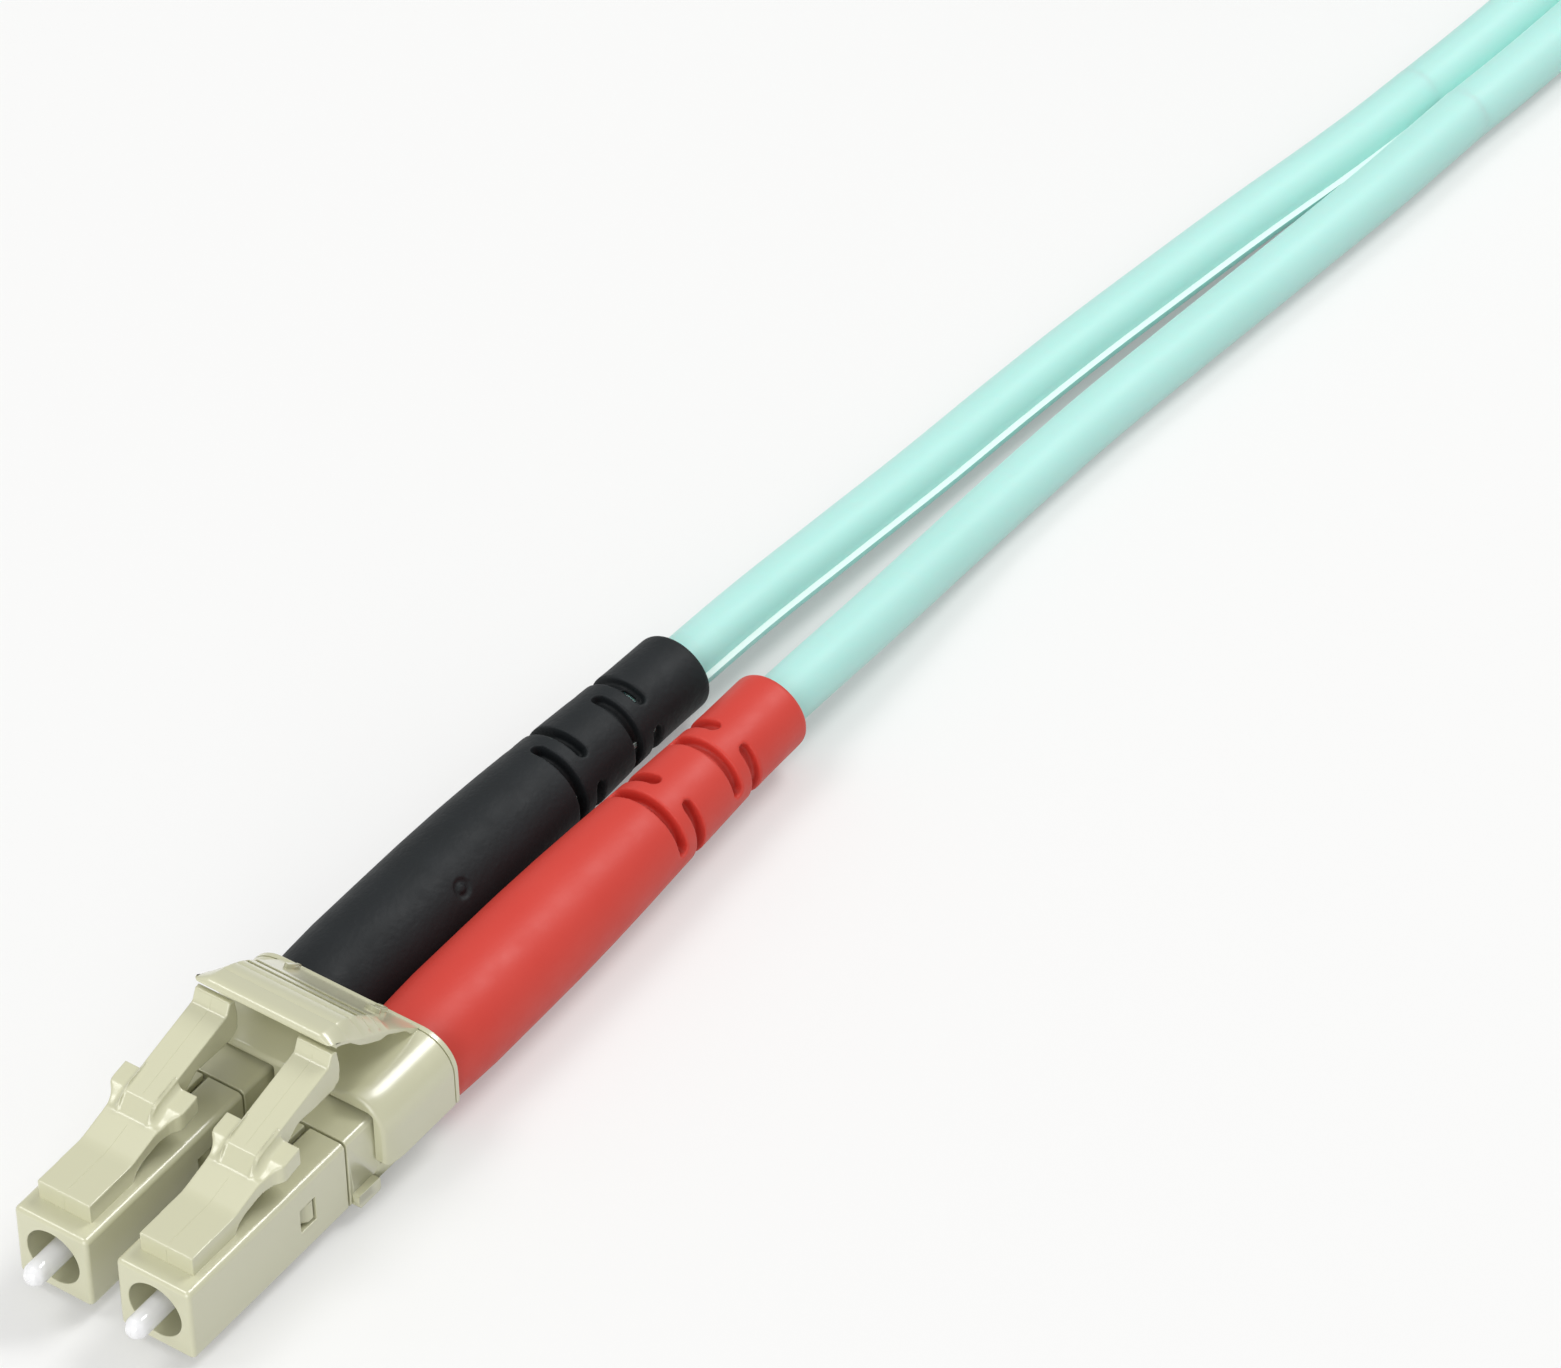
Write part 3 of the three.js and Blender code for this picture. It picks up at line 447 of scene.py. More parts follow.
# %% Route of the joined cord
COIL_INNER_R, COIL_PITCH, TURNS = 27.25, 3.7, 2.025
COIL_OUTER_R = COIL_INNER_R + COIL_PITCH * TURNS
COIL_MIDDLE = Vector((COIL_OUTER_R + 105.26, COIL_OUTER_R - 5.99, 0))
COIL_Z, COIL_LAYER, COIL_TOP = 2.75, 6.6, 12.2
TIE_ANGLE, TIE_T = 190, 0.8
PLAY = 0.3
STRAIGHT = 6.4
SPLIT = Vector((86.5, -4.25, CORE_R))


def ease(u):
    u = min(1.0, max(0.0, u))
    return u * u * (3 - 2 * u)


def coil_point(turn):
    radius = COIL_INNER_R + COIL_PITCH * abs(turn - TURNS)
    angle = -math.pi / 2 + turn * 2 * math.pi
    climb = ease((turn - TURNS) * 2 + 0.5)
    from_tie = abs((math.degrees(angle) - TIE_ANGLE + 900) % 360 - 180)
    lift = (TIE_T + PLAY) * ease((30 - from_tie) / 17)
    height = COIL_Z + COIL_LAYER * climb + lift
    return COIL_MIDDLE + Vector((radius * math.cos(angle), radius * math.sin(angle), height))


def over_coil(x, y, z):
    return COIL_MIDDLE + Vector((x * COIL_OUTER_R, y * COIL_OUTER_R, z))


coil_start = coil_point(0)
lead_in = coil_start + Vector((-STRAIGHT, 0, 0))
surface_row = [
    SPLIT, (91.5, -4.72, CORE_R), (97.5, -5.1, CORE_R), (108, -5.5, CORE_R),
    (121, lead_in.y + 0.05, CORE_R), (lead_in.x - 6.1, lead_in.y, CORE_R), lead_in,
]
middle_line, twists = [], []
steps = 72
for k, p in enumerate(smooth_route(surface_row, steps)):
    twist = 90 * ease((k / steps - 0.28) / 0.58)
    middle_line.append(Vector((p.x, p.y, resting_height(twist))))
    twists.append(twist)
loops = [coil_point(2 * TURNS * k / 260) for k in range(261)]
last_heading = (loops[-1] - loops[-2]).normalized()
leave = loops[-1] + Vector((last_heading.x, last_heading.y, 0)).normalized() * STRAIGHT
FAR_SPLIT = over_coil(0.881, -0.472, COIL_TOP + PLAY + 3.05)
climb = [over_coil(x, y, leave.z + (FAR_SPLIT.z - leave.z) * share) for x, y, share in (
    (0.6505, -0.8117, 0.28), (0.7398, -0.7139, 0.62), (0.8233, -0.593, 0.92))]
middle_line += loops + smooth_route([leave, leave + last_heading * 2.0, *climb, FAR_SPLIT], 24)
twists += [90] * (len(middle_line) - len(twists))
print("joined cord %.1f mm in %d points" % (route_length(middle_line), len(middle_line)))

# %% [markdown]
# The joined cord is one piece from split to split, so it replaces three CAD nodes at once.

# %% The joined cord
def headings(points):
    ends = [points[0], *points, points[-1]]
    return [(c - a).normalized() for a, c in zip(ends, ends[2:])]


rings = []
for p, heading, twist in zip(middle_line, headings(middle_line), twists):
    rings.append(cord_ring(p, heading, twist))
joined = drawn(rings, "joined_cord", 60)
riding(joined, "aqua_jacket", "near_zip_cord", "coiled_cord", "far_zip_cord")
tell("joined cord", joined)

# %% [markdown]
# The legs are single round cores. Each one starts inside its boot; the near legs then lie down on the
# surface, and the far legs come over the coil, one above the other. All end just inside the joined cord.

# %% Routes of the four legs
BOOT_R, BOOT_MOUTH, LEG_START = 3.0, 50.9, 26.9
SAG, SAG_START = Vector((0, -0.17, -0.46)), 34
LIE = CORE_R + 0.05
FAR_Z = CONNECTOR_AT["far"].z
LOWER, UPPER = FAR_SPLIT.z - WEB / 2, FAR_SPLIT.z + WEB / 2
INTO_CORD = (SPLIT.x + 0.4, SPLIT.y - 0.03, -0.03)
NEAR_FREE = {  # x, y from the web's half width, share of the boot's height
    "black": [(32.5, 1.3, 0.44), (39.5, 0.88, 0.2), (46.5, 0.36, 0.03), (53.5, -0.17, 0), (59.8, -0.78, 0),
              (66.1, -1.56, 0), (72.6, -2.42, 0), (79.1, -3.42, 0), (82.9, -3.92, 0), INTO_CORD],
    "red": [(36, -1.5, 0.55), (45.5, -1.29, 0.03), (54.7, -1.66, 0), (62, -2.28, 0), (72.5, -3.28, 0),
            (79.1, -3.86, 0), (82.9, -4.08, 0), INTO_CORD],
}
FAR_FREE = {  # x and y in coil radii, z
    "black": [(0.7771, 0.7743, FAR_Z), (0.9786, 0.6678, FAR_Z + 0.1), (1.0995, 0.4605, FAR_Z + 0.4),
              (1.1225, 0.2303, UPPER - 0.7), (1.088, -0.0144, UPPER - 0.2), (1.0132, -0.2418, UPPER),
              (0.8894, -0.4605, UPPER), (0.8726, -0.4835, UPPER - 0.02)],
    "red": [(0.7484, 0.5929, FAR_Z - 0.1), (0.8923, 0.5123, FAR_Z - 0.6), (0.9844, 0.3598, LOWER + 0.4),
            (1.0189, 0.1727, LOWER + 0.1), (1.0218, -0.0288, LOWER), (0.9757, -0.2533, LOWER),
            (0.8894, -0.4605, LOWER), (0.8726, -0.4835, LOWER + 0.02)],
}


def boot_sag(x):
    """The near black boot hangs down a little towards its mouth, under the leg's pull."""
    return SAG * max(0.0, (x - SAG_START) / (BOOT_MOUTH - SAG_START)) ** 1.8


def leg_row(end, side):
    row = [PLUG_AT[end, side] + Vector((x, 0, 0)) for x in (LEG_START, BOOT_MOUTH - 12, BOOT_MOUTH)]
    if (end, side) == NEAR_BLACK:
        row = [p + boot_sag(p.x - PLUG_AT[NEAR_BLACK].x) for p in row]
    if end == "far":
        return row + [over_coil(*p) for p in FAR_FREE[side]]
    web = WEB / 2 if side == "black" else -WEB / 2
    return row + [Vector((x, y + web, LIE + (BOOT_R - LIE) * share)) for x, y, share in NEAR_FREE[side]]


print("route points", len(leg_row(*NEAR_BLACK)), "in the near black leg")

# %% [markdown]
# Where the web tears between the near legs, it stays on the black side as a thin fin along the leg's
# inner side, which shows as a bright line under the leg.

# %% The four legs
FIN_T, FIN_OUT = 0.34, 0.36
CIRCLE = [(CORE_R * math.cos(math.pi * k / 22), CORE_R * math.sin(math.pi * k / 22)) for k in range(44)]


def leg_rings(path, finned):
    root = -CORE_R * math.cos(math.asin(FIN_T / 2 / CORE_R))
    rings = []
    for i, (p, heading) in enumerate(zip(path, headings(path))):
        across = UP.cross(heading).normalized()
        over = heading.cross(across)
        ring = CIRCLE
        if finned:
            tip = root - FIN_OUT * min(1.0, (len(path) - 1 - i) / 2.5)
            fin = [(root, FIN_T / 2), (tip, FIN_T / 2), (tip, -FIN_T / 2), (root, -FIN_T / 2)]
            ring = CIRCLE[:22] + fin + CIRCLE[23:]
        rings.append([p + across * a + over * b for a, b in ring])
    return rings


LEGS = {}
for end, side in PLUG_AT:
    path = smooth_route(leg_row(end, side), 60)
    leg = drawn(leg_rings(path, (end, side) == NEAR_BLACK), f"{end}_{side}_core", 50)
    riding(leg, "aqua_jacket", f"{end}_{side}_leg")
    LEGS[end, side] = leg, path
    print(leg.name, "%.1f mm" % route_length(path))

# %% [markdown]
# ## The plug
# The front housing is a square tube with a round bore in front and a square cavity behind. Its long
# edges are rounded in the outline, its two rims by pulling the outer rings in, and what the cutters
# leave sharp is bevelled. It keeps the two snap windows and the slot in its roof.

# %% Front housing
HALF, HOUSING_L, EDGE = 2.26, 12.26, 0.32
BORE_R = 1.6


def soft_bar(x0, x1, half, edge, front=0.26, rear=0.06):
    """A rounded square bar whose two rims are rounded too."""
    rings = []
    for x, sign, r in ((x0, 1, front), (x1, -1, rear)):
        turns = [math.pi / 8 * k for k in range(5)]
        rows = [(x + sign * r * (1 - math.cos(a)), r * (1 - math.sin(a))) for a in turns]
        for level, inset in rows[::sign]:
            h = half - inset
            rings.append([(level, a, b) for a, b in square(h, -h, h, max(edge - inset, 0.03))])
    return skin(rings)


housing_pattern = cut(
    soft_bar(0, HOUSING_L, HALF, EDGE),
    rod(-1, 3.6, BORE_R), rod(3.5, 4.5, 0.95), rod(4.4, 7.2, BORE_R),  # stepped bore
    block(7.0, 13.3, -1.85, 1.85, -1.85, 1.85),  # cavity
    block(8.6, 9.8, -3, 3, -0.76, 0.76),  # snap windows
    block(HOUSING_L - 1.5, 13.3, -0.15, 0.15, 1.7, 3.3),  # roof slot
)
soften(housing_pattern, 0.1)
tell("front housing", housing_pattern)

# %% [markdown]
# The rear body plugs into the housing: a square nose with a snap nub on each side, a block of the
# housing's size behind a hairline gap, two small lugs low on its sides, and a round post that the crimp
# sleeve grips.

# %% Rear body
BODY_END, NOSE_X, POST_END = 19.9, 8.4, 25.5
GAP_LINE = 0.13
NOSE_HALF = 1.75
GRIP_X, GRIP_DEPTH = 14.85, 0.45
nub = [(8.75, 0), (9.65, 0), (9.65, HALF - 0.1), (9.3, HALF - 0.1), (8.75, NOSE_HALF)]
lug = rounded([(12.6, -HALF), (14.3, -HALF), (14.3, -HALF + 0.85), (12.6, -HALF + 0.85)], 0.16)
body_pattern = join(
    soft_bar(HOUSING_L + GAP_LINE, BODY_END, HALF, EDGE, 0.05, 0.05),
    block(NOSE_X, HOUSING_L + 0.5, -NOSE_HALF, NOSE_HALF, -NOSE_HALF, NOSE_HALF),
    *[prism([(x, hand * y) for x, y in nub], "z", -0.6, 0.6) for hand in HANDS],
    prism(lug, "y", -HALF - 0.4, HALF + 0.4),
    rod(BODY_END - 0.2, POST_END, 1.35, 32),
)
grips = [handed(hand, GRIP_X, BODY_END + 1, HALF - GRIP_DEPTH, 4, -1.21, -0.01) for hand in HANDS]
cut(body_pattern, *grips, rod(NOSE_X - 1, NOSE_X + 2.1, 1.3, 32), rod(NOSE_X, POST_END + 1, 0.75, 24))
soften(body_pattern, 0.12)
tell("rear body", body_pattern)

# %% [markdown]
# The latch is one moulding with the housing on the real plug: a root block, an arm that rises evenly,
# a step up, two ears that catch in the port, and a straight tail that ends in a small hooked lip. Its
# side view and its plan are two outlines, and where both prisms overlap is the latch. Then it is poured.

# %% Latch arm
arm_side = rounded([
    (1.2, HALF - 0.4, 0), (4.4, HALF - 0.4, 0), (4.55, 2.3, 0.1), (4.85, 2.72, 0.3), (5.4, 2.98, 0.5),
    (9.3, 3.74, 0.4), (9.68, 4.15, 0.3), (10.36, 4.62, 0.5), (13.14, 4.56, 0.25), (13.66, 4.95, 0.45),
    (13.74, 5.91, 0.3), (13.59, 6.92, 0.09), (13.25, 6.94, 0.08), (12.94, 6.27, 0.22), (7.3, 4.84, 0),
    (6.62, 4.02, 0.2), (4.55, 3.42, 2.5), (1.2, 3.38, 0),
], 0.1, 8)
half_plan = [(1.2, 1.62), (6.64, 1.6), (6.65, 1.05), (12.9, 1.07), (13.9, 1.12)]
arm_plan = half_plan + [(x, -y) for x, y in reversed(half_plan)]
latch_pattern = combine(prism(arm_side, "y", -2.2, 2.2), [prism(arm_plan, "z", 0, 9)], "INTERSECT")
EAR_FRONT = [(0.9, 6.3), (1.6, 6.3), (1.66, 6.8), (1.78, 7.2), (1.94, 7.46), (2.1, 7.62), (2.18, 7.74),
             (2.23, 7.94)]
EAR_TOP = [(6.3, 3.93), (6.6, 3.98), (6.9, 4.06), (7.2, 4.2), (7.5, 4.39), (7.72, 4.52), (7.85, 4.55),
           (9.0, 4.76)]
EAR_SLICES = [0.9, 1.05, 1.12, 1.2, 1.3, 1.4, 1.5, 1.6, 1.63, 1.66, 1.72, 1.78, 1.86, 1.94, 2.02, 2.1,
              2.14, 2.18, 2.23]


def between_rows(rows, a):
    for (a0, b0), (a1, b1) in zip(rows, rows[1:]):
        if a <= a1:
            return b0 + (b1 - b0) * (a - a0) / (a1 - a0)
    return rows[-1][1]


def ear_ring(y):
    """One slice of an ear; the top rises in a soft corner where it meets the tail's side."""
    front = between_rows(EAR_FRONT, abs(y))
    rise = 0.3 * max(0.0, 1 - (abs(y) - 1.05) / 0.34) ** 2
    ring = [(6.3 + 2.7 * k / 8, 3.2 + 0.5 * k / 8) for k in range(9)]
    for k in range(31):
        x = 9.0 - 2.7 * k / 30
        ring.append((x, between_rows(EAR_TOP, x) + rise * ease((x - 6.5) / 0.5)))
    return [(max(x, front), y, z) for x, z in ring]


for hand in HANDS:
    join(latch_pattern, skin([ear_ring(hand * y) for y in EAR_SLICES]))
poured(latch_pattern, 0.05, 7, 0.35)
tell("latch arm", latch_pattern)

# %% [markdown]
# A mould closes along the middle of the latch and leaves a fine raised line there. Rays dropped onto the
# finished surface find its height, so the line follows every slope. It misses out the upright step.

# %% Parting line on the latch
LINE_W, LINE_PROUD = 0.06, 0.012


def line_section(depth):
    return [(-LINE_W / 2, -depth), (LINE_W / 2, -depth), (LINE_W / 4, LINE_PROUD), (-LINE_W / 4, LINE_PROUD)]


def surface_lines(piece):
    rows = []
    for k in range(90):
        x = 1.5 + (13.2 - 1.5) * k / 89
        hit, spot = piece.ray_cast(Vector((x, 0.013, 12)), -UP)[:2]
        if hit and not 6.3 < x < 7.5:
            rows.append((x, spot.z))
    lines = []
    for part in ([r for r in rows if r[0] < 7], [r for r in rows if r[0] > 7]):
        lines.append(skin([[(x, y, z + out) for y, out in line_section(0.05)] for x, z in part]))
    front = [[(1.2 - out, y, z) for y, out in line_section(0.06)] for z in (2.3, 2.8, 3.2)]
    return [*lines, skin(front)]


def weld(piece, others):
    """Adds the other meshes to the piece as loose shells."""
    chosen = [piece, *others]
    with bpy.context.temp_override(active_object=piece, object=piece, selected_objects=chosen,
                                   selected_editable_objects=chosen):
        bpy.ops.object.join()


bpy.context.view_layer.update()
weld(latch_pattern, surface_lines(latch_pattern))
tell("latch with its line", latch_pattern)

# %% [markdown]
# The ferrule is a ceramic cylinder, ground to a chamfer and polished to a slightly domed tip, because
# two tips press together in use. A tiny dimple in the middle is where the fibre ends.

# %% Ferrule
FERRULE_R = 0.625
tip = [(-1.875, 0), (-1.875, 0.03), (-1.905, 0.05), (-1.9, 0.18), (-1.885, 0.3)]
chamfer = [(-1.86, 0.36), (-1.75, 0.45), (-1.6, 0.555), (-1.5, 0.602), (-1.4, 0.621), (-1.25, FERRULE_R)]
ferrule_pattern = smooth_faces(turned([*tip, *chamfer, (4.9, FERRULE_R), (5.0, 0.56), (5.0, 0)]), 30)
tell("ferrule", ferrule_pattern)

# %% [markdown]
# The spring behind the ferrule is wound wire with its two ends ground flat. Its front end goes back with the
# ferrule while its rear end stays; here it is wound to fill its CAD box.

# %% Spring
WIRE_R, COIL_R, COILS, TRAVEL = 0.14, 1.06, 6, 0.8
GROUND = 0.07
front, rear = (corner.x - PLUG_AT[NEAR_BLACK].x for corner in box_mm("near_black_spring"))
rings = []
for k in range(COILS * 20 + 1):
    share = k / (COILS * 20)
    angle = 2 * math.pi * COILS * share
    out = Vector((0, math.cos(angle), math.sin(angle)))
    middle = front + WIRE_R + (rear - front - 2 * WIRE_R) * share
    ring = []
    for spin in (math.pi / 5 * m for m in range(10)):
        x = min(max(middle + WIRE_R * math.sin(spin), front + GROUND), rear - GROUND)
        ring.append(out * (COIL_R + WIRE_R * math.cos(spin)) + Vector((x, 0, 0)))
    rings.append(ring)
spring_pattern = smooth_faces(skin(rings), 50)

# %% [markdown]
# The boot is a soft tapered sleeve with four rings of slots near its thin end, two to a ring and crossed
# from ring to ring, so it bends like a spring. Each slot has round ends, so its cutter is a ring sector
# that narrows to a half circle. On the black boot one narrow slot goes right through to the jacket.

# %% Boots
BOOT_X, BOOT_L = 20.15, 30.75
SLOT_TURN = {"black": 58, "red": 19}
BOOT_SHAPE = [
    (0, 2.85), (1.9, 2.94), (3.85, 3.0), (7.3, 2.98), (10.76, 2.95), (13.8, 2.87), (16.9, 2.74), (20, 2.58),
    (22.9, 2.45), (25.2, 2.345), (27.37, 2.27), (29, 2.255), (30.45, 2.25), (30.6, 2.22), (30.71, 2.13),
    (30.75, 2.0),
]
BORE_SHAPE = [(50.9, 1.86), (50.84, 1.8), (49.9, 1.8), (49.4, 1.57), (36.0, 1.57), (35.0, 1.8), (26.9, 1.8),
              (26.9, 2.0), (BOOT_X + 0.1, 2.0), (BOOT_X, 2.1)]
SLOT_RINGS = [11.15, 9.6, 6.15, 4.55]


def slot_cutter(before, middle, arc=144, half_w=0.36, deep=1.78):
    """before is measured from the boot's mouth, middle and arc are degrees, deep is a radius."""
    half = math.radians(arc / 2)
    end_arc = half_w / 2.3
    rings = []
    for k in range(41):
        share = -1 + 2 * k / 40
        angle = half * math.copysign(1 - (1 - abs(share)) ** 1.35, share)
        past = max(0.0, (abs(angle) - (half - end_arc)) / end_arc)
        w = half_w * math.sqrt(max(0.0, 1 - past * past)) + 0.012
        a = math.radians(middle) + angle
        out = Vector((0, -math.sin(a), math.cos(a)))
        corners = ((-w, deep), (w, deep), (w, 3.4), (-w, 3.4))
        rings.append([Vector((BOOT_X + BOOT_L - before + dx, 0, 0)) + out * r for dx, r in corners])
    return skin(rings)


def boot(side):
    outer = [(BOOT_X + x, r) for x, r in BOOT_SHAPE]
    cutters = []
    for ring, before in enumerate(SLOT_RINGS):
        for half_turn in (0, 180):
            cutters.append(slot_cutter(before, SLOT_TURN[side] + half_turn + 90 * (ring % 2)))
    if side == "black":
        cutters.append(slot_cutter(4.49, 15, arc=30, half_w=0.13, deep=1.4))
    return cut(turned([*outer, *BORE_SHAPE, outer[0]], 128), *cutters)


boot_pattern = {side: boot(side) for side in SIDES}
print("slots in each boot", 2 * len(SLOT_RINGS))

# %% [markdown]
# The plastic of the black boot was poured in through its side, which leaves a small round mark with a
# pip in it. It is cut with a turned tool that is swung round to its place.

# %% Gate mark on the black boot
GATE_X, GATE_R, GATE_TURN = 30.1, 2.96, math.radians(50.6)
gate = turned([(-0.5, 0), (-0.5, 0.56), (0.05, 0.56), (0.16, 0.46), (0.16, 0.26), (-0.02, 0.2),
               (-0.02, 0.07), (0.12, 0)], 32)
outward = Vector((0, -math.sin(GATE_TURN), math.cos(GATE_TURN)))
swing = Vector((-1, 0, 0)).rotation_difference(outward).to_matrix().to_4x4()
gate.data.transform(Matrix.Translation(Vector((GATE_X, 0, 0)) + outward * GATE_R) @ swing)
cut(boot_pattern["black"], gate)
for side in SIDES:
    poured(boot_pattern[side], 0.08, 3, 0.3)
    tell(side + " boot", boot_pattern[side])

# %% [markdown]
# ## Clip and trigger
# The clip is a short channel that slides over both rear bodies. Its outline is nearly the same all
# along, except in front, where the roof dips between two round shoulders and the walls draw in a little.
# So it is skinned from rings that are worked out at each x, and its inside is cut out afterwards.

# %% Duplex clip
CLIP_X, CLIP_HALF, CLIP_TOP, CLIP_LOW, CORNER = 14.4, 6.35, 3.34, -0.64, 2.0
INNER, WEB_HALF, ROOF, LIP = 5.51, 0.565, 2.56, 0.36
DIP, DIP_L = 0.5, 2.2
DRAW_IN, DRAW_L = 0.26, 1.3
STATIONS = [(14.4, 0.2), (14.42, 0.12), (14.47, 0.06), (14.54, 0.02), (14.63, 0), (14.9, 0), (15.2, 0),
            (15.6, 0), (16, 0), (16.6, 0), (17.4, 0), (19.6, 0), (20.06, 0), (20.12, 0.025), (20.15, 0.08)]


def clip_ring(x, inset):
    dip = DIP * max(0.0, 1 - (x - CLIP_X) / DIP_L) ** 1.6
    half = CLIP_HALF - DRAW_IN * max(0.0, 1 - (x - CLIP_X) / DRAW_L) ** 2
    side, bend = half - CORNER, CORNER - inset
    wall = [(half - inset, CLIP_LOW + inset)]
    for a in (math.pi / 20 * k for k in range(11)):
        wall.append((side + bend * math.cos(a), CLIP_TOP - CORNER + bend * math.sin(a)))
    top = [side - 2 * side * k / 30 for k in range(1, 30)]
    top = [(y, CLIP_TOP - inset - dip * ease((side + 0.2 - abs(y)) / 1.4)) for y in top]
    return [(x, y, z) for y, z in wall + top + [(-y, z) for y, z in reversed(wall)]]


clip_pattern = skin([clip_ring(x, inset) for x, inset in STATIONS])
seam = cut(block(19.75, 19.84, -8, 8, -3, 6), prism([p[1:] for p in clip_ring(19, 0.09)], "x", 19, 21))
cave = [(WEB_HALF, -0.3, 0), (INNER, -0.3, 0.03), (INNER, ROOF, 0.35), (WEB_HALF, ROOF, 0.15)]
caves = []
for hand in HANDS:
    caves += [
        prism(rounded([(hand * y, z, r) for y, z, r in cave]), "x", CLIP_X - 1, 21),
        handed(hand, CLIP_X - 1, 21, WEB_HALF, INNER - LIP, -1, -0.25),
        handed(hand, CLIP_X - 1, CLIP_X + 0.5, INNER - 0.6, INNER, -1, -0.25),
    ]
cut(clip_pattern, seam, *caves)
join(clip_pattern, block(CLIP_X + 0.05, 20.1, -WEB_HALF, WEB_HALF, -1.9, -0.5))
soften(clip_pattern, 0.13, 50)
tell("clip", clip_pattern)

# %% [markdown]
# The trigger is a bent plate over the whole clip. It has the lip that presses the two tails, a faint
# crease, grip ridges, and a slope that runs down into the clip's roof. Towards both ends the top falls
# to a thin edge, so each of its slices has a top between the middle's top and the end's edge.

# %% Trigger
TRIGGER_TOP = [
    (13.2, 7.46), (13.21, 7.56), (13.24, 7.65), (13.3, 7.73), (13.39, 7.78), (13.5, 7.8), (13.72, 7.77),
    (13.95, 7.71), (14.3, 7.61), (14.54, 7.54), (14.6, 7.51), (14.66, 7.52), (15.1, 7.36), (15.5, 7.18),
    (15.57, 7.13), (15.62, 7.05), (15.7, 7.05), (15.74, 7.05), (16.13, 6.82), (16.16, 6.79), (16.17, 6.3),
    (16.4, 6.2), (16.41, 6.55), (16.45, 6.59), (16.8, 6.31), (16.83, 6.28), (16.84, 5.78), (17.07, 5.68),
    (17.08, 6.03), (17.12, 6.07), (17.5, 5.76), (17.57, 5.68), (17.62, 5.55), (17.75, 5.28), (18.0, 4.98),
    (18.4, 4.6), (18.87, 4.22), (19.58, 3.62), (19.95, 3.34), (20.08, 3.22),
]
TRIGGER_EDGE = [(13.2, 7.5), (13.6, 7.4), (14.2, 7.14), (14.9, 6.58), (15.5, 6.18), (16.12, 5.86),
                (17.14, 5.28), (17.96, 4.8), (18.87, 4.18), (19.58, 3.6), (20.08, 3.2)]
TRIGGER_LOW = rounded([
    (20.08, 3.1, 0), (18.8, 3.1, 0), (18.82, 3.4, 0.2), (18.4, 4.02, 0.5), (17.5, 4.9, 0.6),
    (16.9, 4.98, 0.5), (15.9, 5.55, 0.5), (15.3, 5.95, 0.6), (14.6, 6.68, 0.5), (13.9, 7.09, 0.3),
    (13.3, 7.3, 0.05),
], 0.1, 6)[1:]
GROOVE_TOPS = {16.17: 6.78, 16.4: 6.6, 16.84: 6.27, 17.07: 6.1}
HALF_SPAN, CREST_SPAN, CORNER_R, LIP_X = 4.25, 3.4, 0.35, 13.19
TUCK = 0.5
SPANS = [0, 1.6, 3.1, 3.28, 3.31, 3.34, 3.37, 3.4, 3.48, 3.56, 3.66, 3.76, 3.86, 3.95, 4.03, 4.1, 4.16,
         4.2, 4.23, 4.245, 4.25]


def trigger_slice(y):
    past = max(0.0, (abs(y) - CREST_SPAN) / (HALF_SPAN - CREST_SPAN))
    fall = 0.94 * past ** 1.2 + 0.06 * (1 - math.sqrt(max(0.0, 1 - past ** 8)))
    corner = min(max(0.0, abs(y) - (HALF_SPAN - CORNER_R)), CORNER_R)
    front = LIP_X + CORNER_R - math.sqrt(CORNER_R ** 2 - corner ** 2)
    top = []
    for x, z in TRIGGER_TOP:
        if x in GROOVE_TOPS:
            z += (GROOVE_TOPS[x] - z) * ease((abs(y) - CREST_SPAN + 0.12) / 0.12)
        z += (between_rows(TRIGGER_EDGE, x) - z) * fall
        top.append((max(x, front), y, z))
    tuck = TUCK * ease(past * 2)
    return top + [(max(a + tuck * ease((4.9 - b) / 1.2), front + 0.05), y, b) for a, b in TRIGGER_LOW]


trigger_pattern = skin([trigger_slice(y) for y in [-y for y in reversed(SPANS[1:])] + SPANS])
smooth_faces(trigger_pattern, 32)
tell("trigger", trigger_pattern)

# %% [markdown]
# Two small raised numbers on the slope tell the fibres apart. They are plain digits.

# %% Raised digits
def digit(text, y):
    curve = assign(bpy.data.curves.new("digit", "FONT"), body=text, size=1.75, extrude=0.22,
                   bevel_depth=0.03, align_x="CENTER", align_y="CENTER")
    shape = shown("digit", curve)
    mesh = bpy.data.meshes.new_from_object(shape.evaluated_get(bpy.context.evaluated_depsgraph_get()))
    bpy.data.objects.remove(shape)
    across, down = Vector((0, -1, 0)), Vector((0.764, 0, -0.645))
    basis = Matrix((across, down, across.cross(down))).transposed().to_4x4()
    mesh.transform(Matrix.Translation((19.2, y, 3.95)) @ basis)
    return shown("digit", mesh)


weld(trigger_pattern, [digit("1", 3.1), digit("2", -2.2)])
tell("trigger with digits", trigger_pattern)

# %% [markdown]
# ## The coil's tie
# A fabric strap with hooks and loops goes once round all the loops and lies on its own end. Its middle
# line is a rounded rectangle that steps outwards by one thickness where it meets its start.

